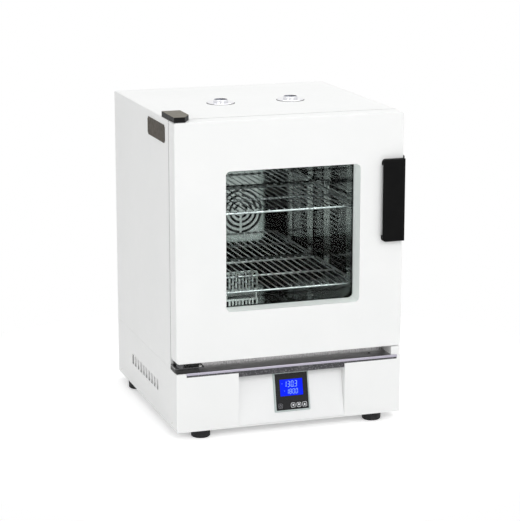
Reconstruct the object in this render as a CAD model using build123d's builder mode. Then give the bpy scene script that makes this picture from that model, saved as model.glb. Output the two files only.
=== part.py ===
"""Benchtop forced air convection oven: a painted cabinet on a base with the controls.

Millimetres, +Z up, front facing -Y. The origin is on the floor, at the middle of the footprint.
"""
import os
from math import cos, radians, sin, tan

from build123d import *

os.makedirs("parts", exist_ok=True)

# Overall sizes
door_thickness = 40
door_gap = 3
base_height = 122
foot_height = 16
handle_reach = 13
louvre_reach = 3
side_reach = 1.2

# Sheet metal and general fits
sheet = 1.2
steel_sheet = 1.0
fold_radius = 3
fit_gap = 0.2
body_gap = 0.3

# Heated chamber and the walls around it
chamber_width = 360
chamber_depth = 287
chamber_height = 370
chamber_rise = 68
side_wall = 60
roof_wall = 68
rear_space = 140
side_duct = 12
fan_duct = 44
liner_corner = 8
mouth_corner = 12
flange_width = 6

# Levels and planes that follow from them
width = chamber_width + 2 * side_wall
cabinet_depth = chamber_depth + rear_space
cabinet_height = chamber_rise + chamber_height + roof_wall
total_depth = handle_reach + door_thickness + door_gap + cabinet_depth + louvre_reach
door_front = handle_reach - total_depth / 2
door_back = door_front + door_thickness
cabinet_front = door_back + door_gap
cabinet_back = cabinet_front + cabinet_depth
base_bottom = foot_height
base_top = base_bottom + base_height
cabinet_top = base_top + cabinet_height
half_width = width / 2
chamber_floor = base_top + chamber_rise
chamber_ceiling = chamber_floor + chamber_height
chamber_middle = (chamber_floor + chamber_ceiling) / 2
chamber_back = cabinet_front + chamber_depth
liner_width = chamber_width + 2 * (side_duct + steel_sheet)
liner_rear = chamber_back + steel_sheet + fan_duct

# Door, its window and its seal
door_clearance = 20
door_top_corner = 4
door_bottom_corner = 7
door_edge = 2
window_side_margin = 38.5
window_floor_margin = 52
window_ceiling_margin = 33
window_shift = 6
window_corner = 10
inner_window_corner = 20
surround_wall = 1.5
glass_thickness = 4
glass_margin = 6
seal_width = 5
seal_thickness = 3
plug_reach = 10
plug_margin = 6
gasket_width = 12
gasket_margin = 4
door_bottom = base_top + door_clearance
door_height = cabinet_top - door_bottom
window_width = chamber_width - 2 * window_side_margin
window_height = chamber_height - window_floor_margin - window_ceiling_margin
window_middle = chamber_middle + (window_floor_margin - window_ceiling_margin) / 2
plug_back = door_back + plug_reach

# Handle and magnetic catch
handle_width = 47
handle_height = 169
handle_rise = 223
handle_corner = 7
handle_edge = 2.5
handle_wrap = 20
handle_wrap_rise = 5
finger_depth = 8
finger_width = 14
finger_end = 12
catch_width = 24
catch_height = 44
catch_corner = 2
catch_thickness = 1.0
catch_inset = 30
magnet_depth = 14

# Hinges
hinge_inset = 12
pin_radius = 4
pin_play = 0.05
pin_depth = 16
bush_wall = 4
upper_block_width = 38
upper_block_depth = 89
upper_block_height = 11
upper_block_bevel = 16
upper_block_bevel_depth = 29
upper_relief = 0.6
lower_block_width = 48
lower_block_corner = 12
lower_block_height = 7
hinge_plate_width = 60
hinge_plate_margin = 5
hinge_plate_height = 3
washer_radius = 8
washer_gap = 0.4

# Ledge between door and base
ledge_left_inset = 21
ledge_right_inset = 20
hem_right_inset = 8
hem_height = 5
hem_reach = 2
trim_height = 4
header_height = 13
header_setback = 3
trim_thickness = 1.5
end_block_gap = 2

# Base and its control panel
recess_width = 228
recess_shift = 4
panel_tilt = 12
panel_rise = 3
slot_count = 10
slot_pitch = 22
slot_height = 22
slot_width = 13
guard_margin = 6
guard_depth = 5
slot_rise = 50
slot_front = 146

# Controller
bezel_width = 77
bezel_height = 82
bezel_border = 3.5
bezel_reach = 3
case_depth = 55
panel_to_bezel = 19
controller_shift = 6.5
bezel_corner = 2
bezel_taper = 15
opening_corner = 1
case_corner = 2
face_sink = 0.8
face_thickness = 2
display_width = 49
display_height = 34
display_rise = 32
key_size = 11
key_corner = 3.5
key_rise = 7
key_pitch = 12.5
key_reach = 0.7
key_travel = 0.8
key_body = 1.8
power_key_offset = -26
first_key_offset = 1

# Air vents on the top
vent_spacing = 152
vent_setback = 182
vent_flange_radius = 28
vent_flange_height = 2
vent_collar_radius = 15.5
vent_collar_wall = 2
vent_collar_height = 8
vent_web = 1.5
vent_post_radius = 2
shutter_thickness = 1.6
shutter_rim = 2.2
shutter_bar = 1.5

# Fan, heater and probe
grille_rise = 185
grille_radius = 48
grille_slot = 5.2
grille_pitch = 10.6
grille_rings = 4
grille_spoke = 5
grille_spokes = 4
fan_radius = 52
fan_depth = 26
fan_hub_radius = 12
fan_blades = 14
fan_blade_thickness = 1.6
fan_blade_length = 17
fan_blade_lean = 35
fan_plate = 1.5
shaft_radius = 4
motor_radius = 38
motor_length = 42
motor_bearing = 20
rear_wool = 38
heater_ring_radius = 74
heater_rod_radius = 4
heater_lead_angle = 12
heater_lead_length = 52
ferrule_radius = 8
ferrule_thickness = 3
probe_radius = 2
probe_length = 26
probe_inset = 60
probe_drop = 40

# Back wall's spacers and its low return grille
spacer_inset = 14
spacer_radius = 4
return_width = 76
return_height = 42
return_rise = 9
return_border = 4
return_corner = 3
return_bar = 4
return_bars = 8
return_depth = 3

# Slots in the side air panels, the uprights and the shelves
air_slot_length = 104
air_slot_height = 4
air_slot_pitch = 10
air_slot_margin = 35
air_slot_rear = 14
upright_width = 36
upright_thickness = 2
upright_rear_inset = 53
upright_front_inset = 190
upright_end_gap = 14
upright_hole_width = 10
upright_hole_height = 3
upright_hole_pitch = 40
upright_holes = 8
clip_reach = 9
clip_height = 4
shelf_side_gap = 9
shelf_front_gap = 20
shelf_rear_gap = 10
shelf_corner = 10
rail_radius = 2.4
wire_radius = 1.3
wire_count = 20
wire_gap = 0.05
rod_sides = 8
lower_shelf_rise = 75
upper_shelf_rise = 238

# Rear and base fittings
thermostat_radius = 9
thermostat_depth = 8
board_inset = 140
board_width = 90
board_depth = 140
board_post_height = 8
board_block_height = 16
inlet_flange_thickness = 3
inlet_body_width = 27
inlet_body_height = 20
inlet_depth = 18
inlet_blade_pitch = 7
inlet_blade_thickness = 2
inlet_blade_height = 5

# Small parts
plate_length = 126
plate_height = 36
plate_notch = 4
plate_front = 24
plate_drop = 14
front_foot_side = 55
front_foot_inset = 20
rear_foot_side = 21
rear_foot_inset = 82
foot_radius = 20
foot_taper = 2.5
foot_edge = 2
inlet_width = 50
inlet_height = 28
inlet_flange = 8
inlet_rise = 30
inlet_inset = 90
louvre_length = 70
louvre_height = 6
louvre_pitch = 16
louvre_rows = 7
louvre_drop = 60


def facing_front(y):
    """Plane at depth y that faces the front: its x is +X, its y is +Z."""
    return Plane(origin=(0, y, 0), x_dir=(1, 0, 0), z_dir=(0, -1, 0))


def facing_right(x):
    """Plane at x that faces +X: its x is +Y, its y is +Z."""
    return Plane(origin=(x, 0, 0), x_dir=(0, 1, 0), z_dir=(1, 0, 0))


def level(z):
    """Horizontal plane at height z."""
    return Plane.XY.offset(z)


# Where the hinge pins, vents, fan and shelves stand
hinge_x = hinge_inset - half_width
hinge_y = door_front + hinge_inset
vent_y = cabinet_front + vent_setback
vent_places = {"left": -vent_spacing / 2, "right": vent_spacing / 2}
pipe_hole = vent_collar_radius + body_gap
fan_z = chamber_floor + grille_rise
probe_x = chamber_width / 2 - probe_inset
probe_z = chamber_ceiling - probe_drop
wool_back = liner_rear + steel_sheet + rear_wool
shelf_levels = {
    "lower": chamber_floor + lower_shelf_rise,
    "upper": chamber_floor + upper_shelf_rise,
}
shelf_width = chamber_width - 2 * shelf_side_gap
shelf_depth = chamber_depth - shelf_front_gap - shelf_rear_gap
shelf_front = cabinet_front + shelf_front_gap
upright_places = (chamber_back - upright_rear_inset, chamber_back - upright_front_inset)
ledge_top = base_top + steel_sheet
fascia_top = ledge_top - hem_height - trim_height
panel_bottom = base_bottom + panel_rise

# Outer shell: one painted sheet folded over the top and down both sides
with BuildPart() as outer_shell:
    with BuildSketch(facing_front(cabinet_front)) as shell_outline:
        with Locations((0, (base_top + cabinet_top) / 2)):
            Rectangle(width, cabinet_height)
        fillet(shell_outline.vertices().group_by(Axis.Y)[-1], fold_radius)
    extrude(amount=-cabinet_depth)
    with BuildSketch(facing_front(cabinet_front + sheet)) as shell_hollow:
        with Locations((0, (base_top + cabinet_top - sheet) / 2)):
            Rectangle(width - 2 * sheet, cabinet_height - sheet)
        fillet(shell_hollow.vertices().group_by(Axis.Y)[-1], fold_radius - sheet)
    extrude(amount=-cabinet_depth, mode=Mode.SUBTRACT)
    with BuildSketch(facing_front(cabinet_front)):
        with Locations((0, (base_top + cabinet_top - flange_width) / 2)):
            Rectangle(width - 2 * flange_width, cabinet_height - flange_width)
    extrude(amount=-sheet, mode=Mode.SUBTRACT)
    with BuildSketch(level(cabinet_top)):
        with Locations(*[(x, vent_y) for x in vent_places.values()]):
            Circle(pipe_hole)
    extrude(amount=-sheet, mode=Mode.SUBTRACT)
outer_shell.part.label = "outer_shell"
export_step(outer_shell.part, "parts/outer_shell.step")

# Mouth frame: the bright steel plate around the chamber's mouth
frame_width = width - 2 * (flange_width + fit_gap)
frame_top = cabinet_top - flange_width - fit_gap
with BuildPart() as mouth_frame:
    with BuildSketch(facing_front(cabinet_front)):
        with Locations((0, (base_top + frame_top) / 2)):
            Rectangle(frame_width, frame_top - base_top)
        with Locations((0, chamber_middle)):
            RectangleRounded(chamber_width, chamber_height, mouth_corner, mode=Mode.SUBTRACT)
    extrude(amount=-steel_sheet)
mouth_frame.part.label = "mouth_frame"
export_step(mouth_frame.part, "parts/mouth_frame.step")

# Chamber liner: the folded steel box that holds the heat
liner_front = cabinet_front + steel_sheet
liner_depth = liner_rear - liner_front
lead_x = heater_ring_radius * sin(radians(heater_lead_angle))
lead_z = fan_z - heater_ring_radius * cos(radians(heater_lead_angle))
with BuildPart() as chamber_liner:
    with BuildSketch(facing_front(liner_front)):
        with Locations((0, chamber_middle)):
            RectangleRounded(
                liner_width + 2 * steel_sheet, chamber_height + 2 * steel_sheet, liner_corner
            )
    extrude(amount=-(liner_depth + steel_sheet))
    with BuildSketch(facing_front(liner_front)):
        with Locations((0, chamber_middle)):
            RectangleRounded(liner_width, chamber_height, liner_corner - steel_sheet)
    extrude(amount=-liner_depth, mode=Mode.SUBTRACT)
    with BuildSketch(level(chamber_ceiling)):
        with Locations(*[(x, vent_y) for x in vent_places.values()]):
            Circle(pipe_hole)
    extrude(amount=steel_sheet, mode=Mode.SUBTRACT)
    with BuildSketch(facing_front(liner_rear)):
        with Locations((0, fan_z)):
            Circle(shaft_radius + fan_plate)
        with Locations((-lead_x, lead_z), (lead_x, lead_z)):
            Circle(heater_rod_radius + fit_gap)
        with Locations((probe_x, probe_z)):
            Circle(probe_radius + fit_gap)
    extrude(amount=-steel_sheet, mode=Mode.SUBTRACT)
chamber_liner.part.label = "chamber_liner"
export_step(chamber_liner.part, "parts/chamber_liner.step")

# Back baffle: the chamber's rear wall, with the fan's ring grille and the low return slots
spoke_angle = 360 / grille_spokes
spacer_x = chamber_width / 2 - spacer_inset
spacer_rise = chamber_height / 2 - spacer_inset
return_z = chamber_floor + return_rise + return_height / 2
with BuildPart() as back_baffle:
    with BuildSketch(facing_front(chamber_back)) as baffle_face:
        with Locations((0, chamber_middle)):
            Rectangle(chamber_width + 2 * steel_sheet, chamber_height - 2 * fit_gap)
        with Locations((0, return_z)):
            Rectangle(
                return_width - 2 * return_border, return_height - 2 * return_border,
                mode=Mode.SUBTRACT,
            )
        with Locations((probe_x, probe_z)):
            Circle(probe_radius + fit_gap, mode=Mode.SUBTRACT)
    extrude(amount=-steel_sheet)
    with BuildSketch(facing_front(chamber_back)) as ring_slots:
        with Locations((0, fan_z)):
            for ring in range(grille_rings):
                outer_radius = grille_radius - ring * grille_pitch
                Circle(outer_radius)
                Circle(outer_radius - grille_slot, mode=Mode.SUBTRACT)
            for spoke in range(grille_spokes // 2):
                Rectangle(
                    grille_spoke, 2 * grille_radius + grille_slot,
                    rotation=spoke * spoke_angle, mode=Mode.SUBTRACT,
                )
    extrude(amount=-steel_sheet, mode=Mode.SUBTRACT)
    with BuildSketch(facing_front(chamber_back + steel_sheet)):
        with Locations((0, chamber_middle)):
            with GridLocations(2 * spacer_x, 2 * spacer_rise, 2, 2):
                Circle(spacer_radius)
    extrude(amount=-fan_duct)
back_baffle.part.label = "back_baffle"
export_step(back_baffle.part, "parts/back_baffle.step")

# Return grille: a bright frame of upright bars over the low opening
bar_pitch = (return_width - 2 * return_border) / (return_bars + 1)
with BuildPart() as return_grille:
    with BuildSketch(facing_front(chamber_back)):
        with Locations((0, return_z)):
            RectangleRounded(return_width, return_height, return_corner)
            Rectangle(
                return_width - 2 * return_border, return_height - 2 * return_border,
                mode=Mode.SUBTRACT,
            )
            with GridLocations(bar_pitch, 0, return_bars, 1):
                Rectangle(return_bar, return_height - return_border)
    extrude(amount=return_depth)
    with BuildSketch(facing_front(chamber_back)):
        with Locations((0, chamber_floor + return_rise / 2)):
            with GridLocations(return_width - 2 * return_border, 0, 2, 1):
                Rectangle(return_border, return_rise)
    extrude(amount=return_depth)
return_grille.part.label = "return_grille"
export_step(return_grille.part, "parts/return_grille.step")

# Side air panels: folded channels that lead the fan's air to rows of slots
panel_front = liner_front
panel_length = chamber_back - panel_front
air_slot_count = int((chamber_height - 2 * air_slot_margin) // air_slot_pitch)
for side, sign in (("left", -1), ("right", 1)):
    web_face = sign * chamber_width / 2
    with BuildPart() as side_air_panel:
        with BuildSketch(facing_front(panel_front)):
            with Locations((web_face + sign * steel_sheet / 2, chamber_middle)):
                Rectangle(steel_sheet, chamber_height - 2 * fit_gap)
            with Locations((web_face + sign * (side_duct + steel_sheet) / 2, chamber_middle)):
                with GridLocations(0, chamber_height - 2 * liner_corner, 1, 2):
                    Rectangle(side_duct + steel_sheet, steel_sheet)
        extrude(amount=-panel_length)
        with BuildSketch(facing_right(web_face)):
            with Locations((chamber_back - air_slot_rear - air_slot_length / 2, chamber_middle)):
                with GridLocations(0, air_slot_pitch, 1, air_slot_count):
                    Rectangle(air_slot_length, air_slot_height)
        extrude(amount=sign * steel_sheet, mode=Mode.SUBTRACT)
    side_air_panel.part.label = f"side_air_panel_{side}"
    export_step(side_air_panel.part, f"parts/side_air_panel_{side}.step")

# Shelf uprights: four punched strips that stand on the side air panels
upright_height = chamber_height - 2 * upright_end_gap
with BuildPart() as shelf_uprights:
    for sign in (-1, 1):
        with BuildSketch(facing_right(sign * chamber_width / 2)):
            for y in upright_places:
                with Locations((y, chamber_middle)):
                    Rectangle(upright_width, upright_height)
                    with GridLocations(0, upright_hole_pitch, 1, upright_holes):
                        Rectangle(upright_hole_width, upright_hole_height, mode=Mode.SUBTRACT)
        extrude(amount=-sign * upright_thickness)
shelf_uprights.part.label = "shelf_uprights"
export_step(shelf_uprights.part, "parts/shelf_uprights.step")

# Shelf clips: small angles hung on the uprights, under the side rails of each shelf
clip_face = chamber_width / 2 - upright_thickness
with BuildPart() as shelf_clips:
    for z in shelf_levels.values():
        clip_top = z - rail_radius - body_gap
        for sign in (-1, 1):
            for y in upright_places:
                with BuildSketch(facing_front(y)):
                    with Locations((sign * (clip_face - clip_reach / 2), clip_top - clip_height / 2)):
                        Rectangle(clip_reach, clip_height)
                    with Locations((sign * (clip_face - clip_height / 4), clip_top)):
                        Rectangle(clip_height / 2, 3 * clip_height)
                extrude(amount=upright_width / 4, both=True)
shelf_clips.part.label = "shelf_clips"
export_step(shelf_clips.part, "parts/shelf_clips.step")

# Shelves: a bent rail, a cross rail and wires laid front to back, all drawn eight-sided
rail_half_width = shelf_width / 2 - rail_radius
rail_half_depth = shelf_depth / 2 - rail_radius
shelf_middle = shelf_front + shelf_depth / 2
wire_pitch = 2 * rail_half_width / (wire_count + 1)
for name, z in shelf_levels.items():
    with BuildPart() as shelf:
        with BuildLine(level(z)) as rail_path:
            FilletPolyline(
                (rail_half_width, shelf_middle - rail_half_depth),
                (rail_half_width, shelf_middle + rail_half_depth),
                (-rail_half_width, shelf_middle + rail_half_depth),
                (-rail_half_width, shelf_middle - rail_half_depth),
                radius=shelf_corner,
                close=True,
            )
        with BuildSketch(Plane(origin=rail_path.line @ 0, z_dir=rail_path.line % 0)):
            RegularPolygon(rail_radius, rod_sides)
        sweep()
        with BuildSketch(facing_right(-rail_half_width + rail_radius + wire_gap)):
            with Locations((shelf_middle, z)):
                RegularPolygon(rail_radius - wire_gap, rod_sides)
        extrude(amount=2 * (rail_half_width - rail_radius - wire_gap))
        with BuildSketch(facing_front(shelf_front)):
            with Locations((0, z + rail_radius + wire_radius + wire_gap)):
                with GridLocations(wire_pitch, 0, wire_count, 1):
                    RegularPolygon(wire_radius, rod_sides)
        extrude(amount=-shelf_depth)
    shelf.part.label = f"shelf_{name}"
    export_step(shelf.part, f"parts/shelf_{name}.step")

# Wool: the insulation packed between the liner and the outer shell
wool_front = cabinet_front + sheet + fit_gap
wool_width = width - 2 * (sheet + fit_gap)
wool_top = cabinet_top - sheet - fit_gap
rear_holes = [(0, fan_z), (-lead_x, lead_z), (lead_x, lead_z), (probe_x, probe_z)]
with BuildPart() as chamber_wool:
    with BuildSketch(facing_front(wool_front)) as wool_outline:
        with Locations((0, (base_top + fit_gap + wool_top) / 2)):
            Rectangle(wool_width, wool_top - base_top - fit_gap)
        fillet(wool_outline.vertices().group_by(Axis.Y)[-1], fold_radius)
    extrude(amount=-(wool_back - fit_gap - wool_front))
    with BuildSketch(facing_front(wool_front)):
        with Locations((0, chamber_middle)):
            RectangleRounded(
                liner_width + 2 * (steel_sheet + fit_gap),
                chamber_height + 2 * (steel_sheet + fit_gap),
                liner_corner + fit_gap,
            )
    extrude(amount=-(liner_rear + steel_sheet + fit_gap - wool_front), mode=Mode.SUBTRACT)
    with BuildSketch(level(chamber_middle)):
        with Locations(*[(x, vent_y) for x in vent_places.values()]):
            Circle(pipe_hole)
    extrude(amount=cabinet_top - chamber_middle, mode=Mode.SUBTRACT)
    with BuildSketch(facing_front(liner_rear)):
        with Locations(*rear_holes):
            Circle(shaft_radius + fan_plate)
    extrude(amount=-(wool_back - liner_rear), mode=Mode.SUBTRACT)
chamber_wool.part.label = "chamber_wool"
export_step(chamber_wool.part, "parts/chamber_wool.step")

# Inner back plate: closes the wool and carries the fan motor
with BuildPart() as inner_back_plate:
    with BuildSketch(facing_front(wool_back)) as plate_outline:
        with Locations((0, (base_top + wool_top) / 2)):
            Rectangle(wool_width, wool_top - base_top)
        fillet(plate_outline.vertices().group_by(Axis.Y)[-1], fold_radius)
        with Locations(*rear_holes):
            Circle(shaft_radius + body_gap, mode=Mode.SUBTRACT)
    extrude(amount=-sheet)
inner_back_plate.part.label = "inner_back_plate"
export_step(inner_back_plate.part, "parts/inner_back_plate.step")

# Rear panel: the painted back, with rows of pressed louvres and the inlet's cut-out
rear_face = cabinet_back - sheet
rear_bottom = base_bottom + sheet + fit_gap
louvre_top_z = cabinet_top - louvre_drop
louvre_rows_z = [louvre_top_z - row * louvre_pitch for row in range(louvre_rows)]
inlet_x = half_width - inlet_inset
inlet_z = base_bottom + inlet_rise + inlet_height / 2
with BuildPart() as rear_panel:
    with BuildSketch(facing_front(rear_face)):
        with Locations((0, (rear_bottom + wool_top) / 2)):
            RectangleRounded(wool_width, wool_top - rear_bottom, fold_radius)
        for z in louvre_rows_z:
            with Locations((0, z + (louvre_height - sheet) / 2)):
                Rectangle(louvre_length, louvre_height - sheet, mode=Mode.SUBTRACT)
        with Locations((inlet_x, inlet_z)):
            Rectangle(inlet_width - 2 * inlet_flange, inlet_height, mode=Mode.SUBTRACT)
    extrude(amount=-sheet)
    with BuildSketch(facing_right(-louvre_length / 2)):
        for z in louvre_rows_z:
            with Locations((cabinet_back, z)):
                Ellipse(louvre_reach, louvre_height)
                Ellipse(louvre_reach - sheet, louvre_height - sheet, mode=Mode.SUBTRACT)
            with Locations((cabinet_back, z - louvre_height / 2)):
                Rectangle(2 * louvre_reach, louvre_height, mode=Mode.SUBTRACT)
            with Locations((cabinet_back - louvre_reach / 2, z)):
                Rectangle(louvre_reach, 2 * louvre_height, mode=Mode.SUBTRACT)
    extrude(amount=louvre_length)
rear_panel.part.label = "rear_panel"
export_step(rear_panel.part, "parts/rear_panel.step")

# Base housing: the painted tray under the chamber, with air slots in both sides
housing_front = door_front + sheet
housing_top = base_top - body_gap
slot_rows = [door_front + slot_front + step * slot_pitch for step in range(slot_count)]
foot_places = [
    (sign * (half_width - side), y)
    for sign in (-1, 1)
    for side, y in (
        (front_foot_side, door_front + front_foot_inset),
        (rear_foot_side, cabinet_back - rear_foot_inset),
    )
]
with BuildPart() as base_housing:
    with BuildSketch(facing_front(housing_front)) as housing_outline:
        with Locations((0, (base_bottom + housing_top) / 2)):
            Rectangle(width, housing_top - base_bottom)
        fillet(housing_outline.vertices().group_by(Axis.Y)[0], fold_radius)
    extrude(amount=-(cabinet_back - housing_front))
    with BuildSketch(facing_front(housing_front)) as housing_hollow:
        with Locations((0, (base_bottom + sheet + housing_top) / 2)):
            Rectangle(width - 2 * sheet, housing_top - base_bottom - sheet)
        fillet(housing_hollow.vertices().group_by(Axis.Y)[0], fold_radius - sheet)
    extrude(amount=-(cabinet_back - housing_front), mode=Mode.SUBTRACT)
    with BuildSketch(facing_right(-half_width)):
        with Locations(*[(y, base_bottom + slot_rise + slot_height / 2) for y in slot_rows]):
            Rectangle(slot_width, slot_height)
    extrude(amount=width, mode=Mode.SUBTRACT)
base_housing.part.label = "base_housing"
export_step(base_housing.part, "parts/base_housing.step")

# Slot guards: shallow painted channels behind the air slots, open above and below for the air
slot_band = (slot_count - 1) * slot_pitch + slot_width
slot_band_y = (slot_rows[0] + slot_rows[-1]) / 2
slot_z = base_bottom + slot_rise + slot_height / 2
with BuildPart() as slot_guards:
    for sign in (-1, 1):
        with BuildSketch(facing_right(sign * (half_width - sheet))):
            with Locations((slot_band_y, slot_z)):
                Rectangle(slot_band + 2 * guard_margin, slot_height + 2 * guard_margin)
        extrude(amount=-sign * guard_depth)
        with BuildSketch(facing_right(sign * (half_width - sheet))):
            with Locations((slot_band_y, slot_z)):
                Rectangle(
                    slot_band + 2 * (guard_margin - sheet), slot_height + 2 * guard_margin
                )
        extrude(amount=-sign * (guard_depth - sheet), mode=Mode.SUBTRACT)
slot_guards.part.label = "slot_guards"
export_step(slot_guards.part, "parts/slot_guards.step")

# Deck plate: the shelf of plain sheet that carries the chamber on the base
deck_front = door_front + 2 * sheet
deck_back = rear_face - fit_gap
with BuildPart() as deck_plate:
    with BuildSketch(level(base_top - sheet)):
        with Locations((0, (deck_front + deck_back) / 2)):
            Rectangle(wool_width, deck_back - deck_front)
    extrude(amount=sheet)
deck_plate.part.label = "deck_plate"
export_step(deck_plate.part, "parts/deck_plate.step")

# Drip ledge: a bright steel strip under the door with a rounded hem along its front
ledge_left = ledge_left_inset - half_width
ledge_right = half_width - ledge_right_inset
hem_right = half_width - hem_right_inset
hem_bottom = ledge_top - hem_height
with BuildPart() as drip_ledge:
    with BuildSketch(level(base_top)):
        with Locations(((ledge_left + ledge_right) / 2, (door_front + cabinet_front) / 2)):
            Rectangle(ledge_right - ledge_left, cabinet_front - door_front)
    extrude(amount=steel_sheet)
    with BuildSketch(facing_right(ledge_left)):
        with Locations((door_front + (sheet - hem_reach) / 2, (hem_bottom + ledge_top) / 2)):
            RectangleRounded(sheet + hem_reach, hem_height, hem_reach / 2)
    extrude(amount=hem_right - ledge_left)
drip_ledge.part.label = "drip_ledge"
export_step(drip_ledge.part, "parts/drip_ledge.step")

# Ledge trim: the dark strip under the hem, deeper where it closes the controls' recess
header_bottom = hem_bottom - header_height
header_front = door_front + header_setback
header_width = recess_width - 2 * fit_gap
with BuildPart() as ledge_trim:
    with BuildSketch(facing_front(door_front)):
        with Locations(((ledge_left + hem_right) / 2, (fascia_top + hem_bottom) / 2)):
            Rectangle(hem_right - ledge_left, trim_height)
    extrude(amount=-trim_thickness)
    with BuildSketch(facing_front(door_front)):
        with Locations((recess_shift, fascia_top + trim_thickness / 2)):
            Rectangle(header_width, trim_thickness)
    extrude(amount=-(header_setback + trim_thickness))
    with BuildSketch(facing_front(header_front)):
        with Locations((recess_shift, (header_bottom + fascia_top + trim_thickness) / 2)):
            Rectangle(header_width, fascia_top + trim_thickness - header_bottom)
    extrude(amount=-trim_thickness)
ledge_trim.part.label = "ledge_trim"
export_step(ledge_trim.part, "parts/ledge_trim.step")

# End block: the painted block that closes the ledge at its right end
end_block_front = door_front + sheet + fit_gap
with BuildPart() as end_block:
    with BuildSketch(level(base_top)):
        with Locations(((ledge_right + half_width) / 2, (end_block_front + cabinet_front) / 2)):
            Rectangle(half_width - ledge_right, cabinet_front - end_block_front)
    extrude(amount=door_clearance - end_block_gap)
    fillet(end_block.edges().filter_by(Axis.Z).sort_by(Axis.Y)[0:2].sort_by(Axis.X)[-1], fold_radius)
end_block.part.label = "end_block"
export_step(end_block.part, "parts/end_block.step")

# Base fascia: the painted front of the base, cut away for the controls, with folded cheeks
tilt_rise = tan(radians(panel_tilt))
cheek_depth = (fascia_top - panel_bottom) * tilt_rise + 2 * sheet
with BuildPart() as base_fascia:
    with BuildSketch(facing_front(door_front)) as fascia_outline:
        with Locations((0, (base_bottom + fascia_top) / 2)):
            Rectangle(width, fascia_top - base_bottom)
        with Locations(((ledge_left - half_width) / 2, (fascia_top + base_top) / 2)):
            Rectangle(half_width + ledge_left, base_top - fascia_top)
        with Locations(((hem_right + half_width) / 2, (fascia_top + base_top) / 2)):
            Rectangle(half_width - hem_right, base_top - fascia_top)
        with Locations((recess_shift, (panel_bottom + fascia_top) / 2)):
            Rectangle(recess_width, fascia_top - panel_bottom, mode=Mode.SUBTRACT)
    extrude(amount=-sheet)
    for sign in (-1, 1):
        with BuildSketch(facing_right(recess_shift + sign * recess_width / 2)):
            with BuildLine():
                Polyline(
                    (door_front, panel_bottom),
                    (door_front, fascia_top),
                    (door_front + cheek_depth, fascia_top),
                    (door_front + 2 * sheet, panel_bottom),
                    close=True,
                )
            make_face()
        extrude(amount=sign * sheet)
base_fascia.part.label = "base_fascia"
export_step(base_fascia.part, "parts/base_fascia.step")

# Control panel: the tilted plate in the recess, cut out for the controller
panel_plane = Plane(
    origin=(0, door_front, panel_bottom),
    x_dir=(1, 0, 0),
    z_dir=(0, -cos(radians(panel_tilt)), sin(radians(panel_tilt))),
)
panel_foot = sheet * tilt_rise + fit_gap
panel_head = (base_top - 2 * sheet - fit_gap - panel_bottom) / cos(radians(panel_tilt))
bezel_middle = panel_to_bezel + bezel_height / 2
opening_width = bezel_width - 2 * bezel_border
opening_height = bezel_height - 2 * bezel_border
case_width = opening_width - 2 * sheet
case_height = opening_height - 2 * sheet
with BuildPart() as control_panel:
    with BuildSketch(panel_plane):
        with Locations((recess_shift, (panel_foot + panel_head) / 2)):
            Rectangle(recess_width - 2 * fit_gap, panel_head - panel_foot)
        with Locations((controller_shift, bezel_middle)):
            Rectangle(case_width + 2 * fit_gap, case_height + 2 * fit_gap, mode=Mode.SUBTRACT)
    extrude(amount=-sheet)
control_panel.part.label = "control_panel"
export_step(control_panel.part, "parts/control_panel.step")

# Controller: case behind the panel, pale bezel, black face, display and four keys
with BuildPart() as controller_case:
    with BuildSketch(panel_plane.offset(-fit_gap)):
        with Locations((controller_shift, bezel_middle)):
            RectangleRounded(case_width, case_height, case_corner)
    extrude(amount=-case_depth)
controller_case.part.label = "controller_case"
export_step(controller_case.part, "parts/controller_case.step")

with BuildPart() as controller_bezel:
    with BuildSketch(panel_plane):
        with Locations((controller_shift, bezel_middle)):
            RectangleRounded(bezel_width, bezel_height, bezel_corner)
    extrude(amount=bezel_reach, taper=bezel_taper)
    with BuildSketch(panel_plane):
        with Locations((controller_shift, bezel_middle)):
            RectangleRounded(opening_width, opening_height, opening_corner)
    extrude(amount=bezel_reach, mode=Mode.SUBTRACT)
controller_bezel.part.label = "controller_bezel"
export_step(controller_bezel.part, "parts/controller_bezel.step")

face_level = bezel_reach - face_sink - face_thickness
display_middle = panel_to_bezel + display_rise + display_height / 2
key_middle = panel_to_bezel + key_rise + key_size / 2
first_key_x = controller_shift + first_key_offset
key_places = {
    "power": controller_shift + power_key_offset,
    "shift": first_key_x,
    "down": first_key_x + key_pitch,
    "up": first_key_x + 2 * key_pitch,
}
with BuildPart() as controller_face:
    with BuildSketch(panel_plane.offset(face_level)):
        with Locations((controller_shift, bezel_middle)):
            RectangleRounded(
                opening_width - 2 * fit_gap, opening_height - 2 * fit_gap, opening_corner
            )
        with Locations((controller_shift, display_middle)):
            Rectangle(display_width, display_height, mode=Mode.SUBTRACT)
        with Locations(*[(x, key_middle) for x in key_places.values()]):
            RectangleRounded(
                key_size + 2 * body_gap, key_size + 2 * body_gap, key_corner, mode=Mode.SUBTRACT
            )
    extrude(amount=face_thickness)
controller_face.part.label = "controller_face"
export_step(controller_face.part, "parts/controller_face.step")

with BuildPart() as display:
    with BuildSketch(panel_plane.offset(-fit_gap)):
        with Locations((controller_shift, display_middle)):
            Rectangle(display_width - 2 * fit_gap, display_height - 2 * fit_gap)
    extrude(amount=face_level + face_thickness - fit_gap)
display.part.label = "display"
export_step(display.part, "parts/display.step")

key_top = face_level + face_thickness + key_reach
panel_normal = Axis(panel_plane.origin, panel_plane.z_dir)
for name, x in key_places.items():
    with BuildPart() as key:
        with BuildSketch(panel_plane.offset(key_top - key_body)):
            with Locations((x, key_middle)):
                RectangleRounded(key_size, key_size, key_corner - body_gap)
        extrude(amount=key_body)
        chamfer(key.faces().sort_by(panel_normal)[-1].edges(), key_reach / 2)
    key.part.label = f"key_{name}"
    export_step(key.part, f"parts/key_{name}.step")

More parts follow.
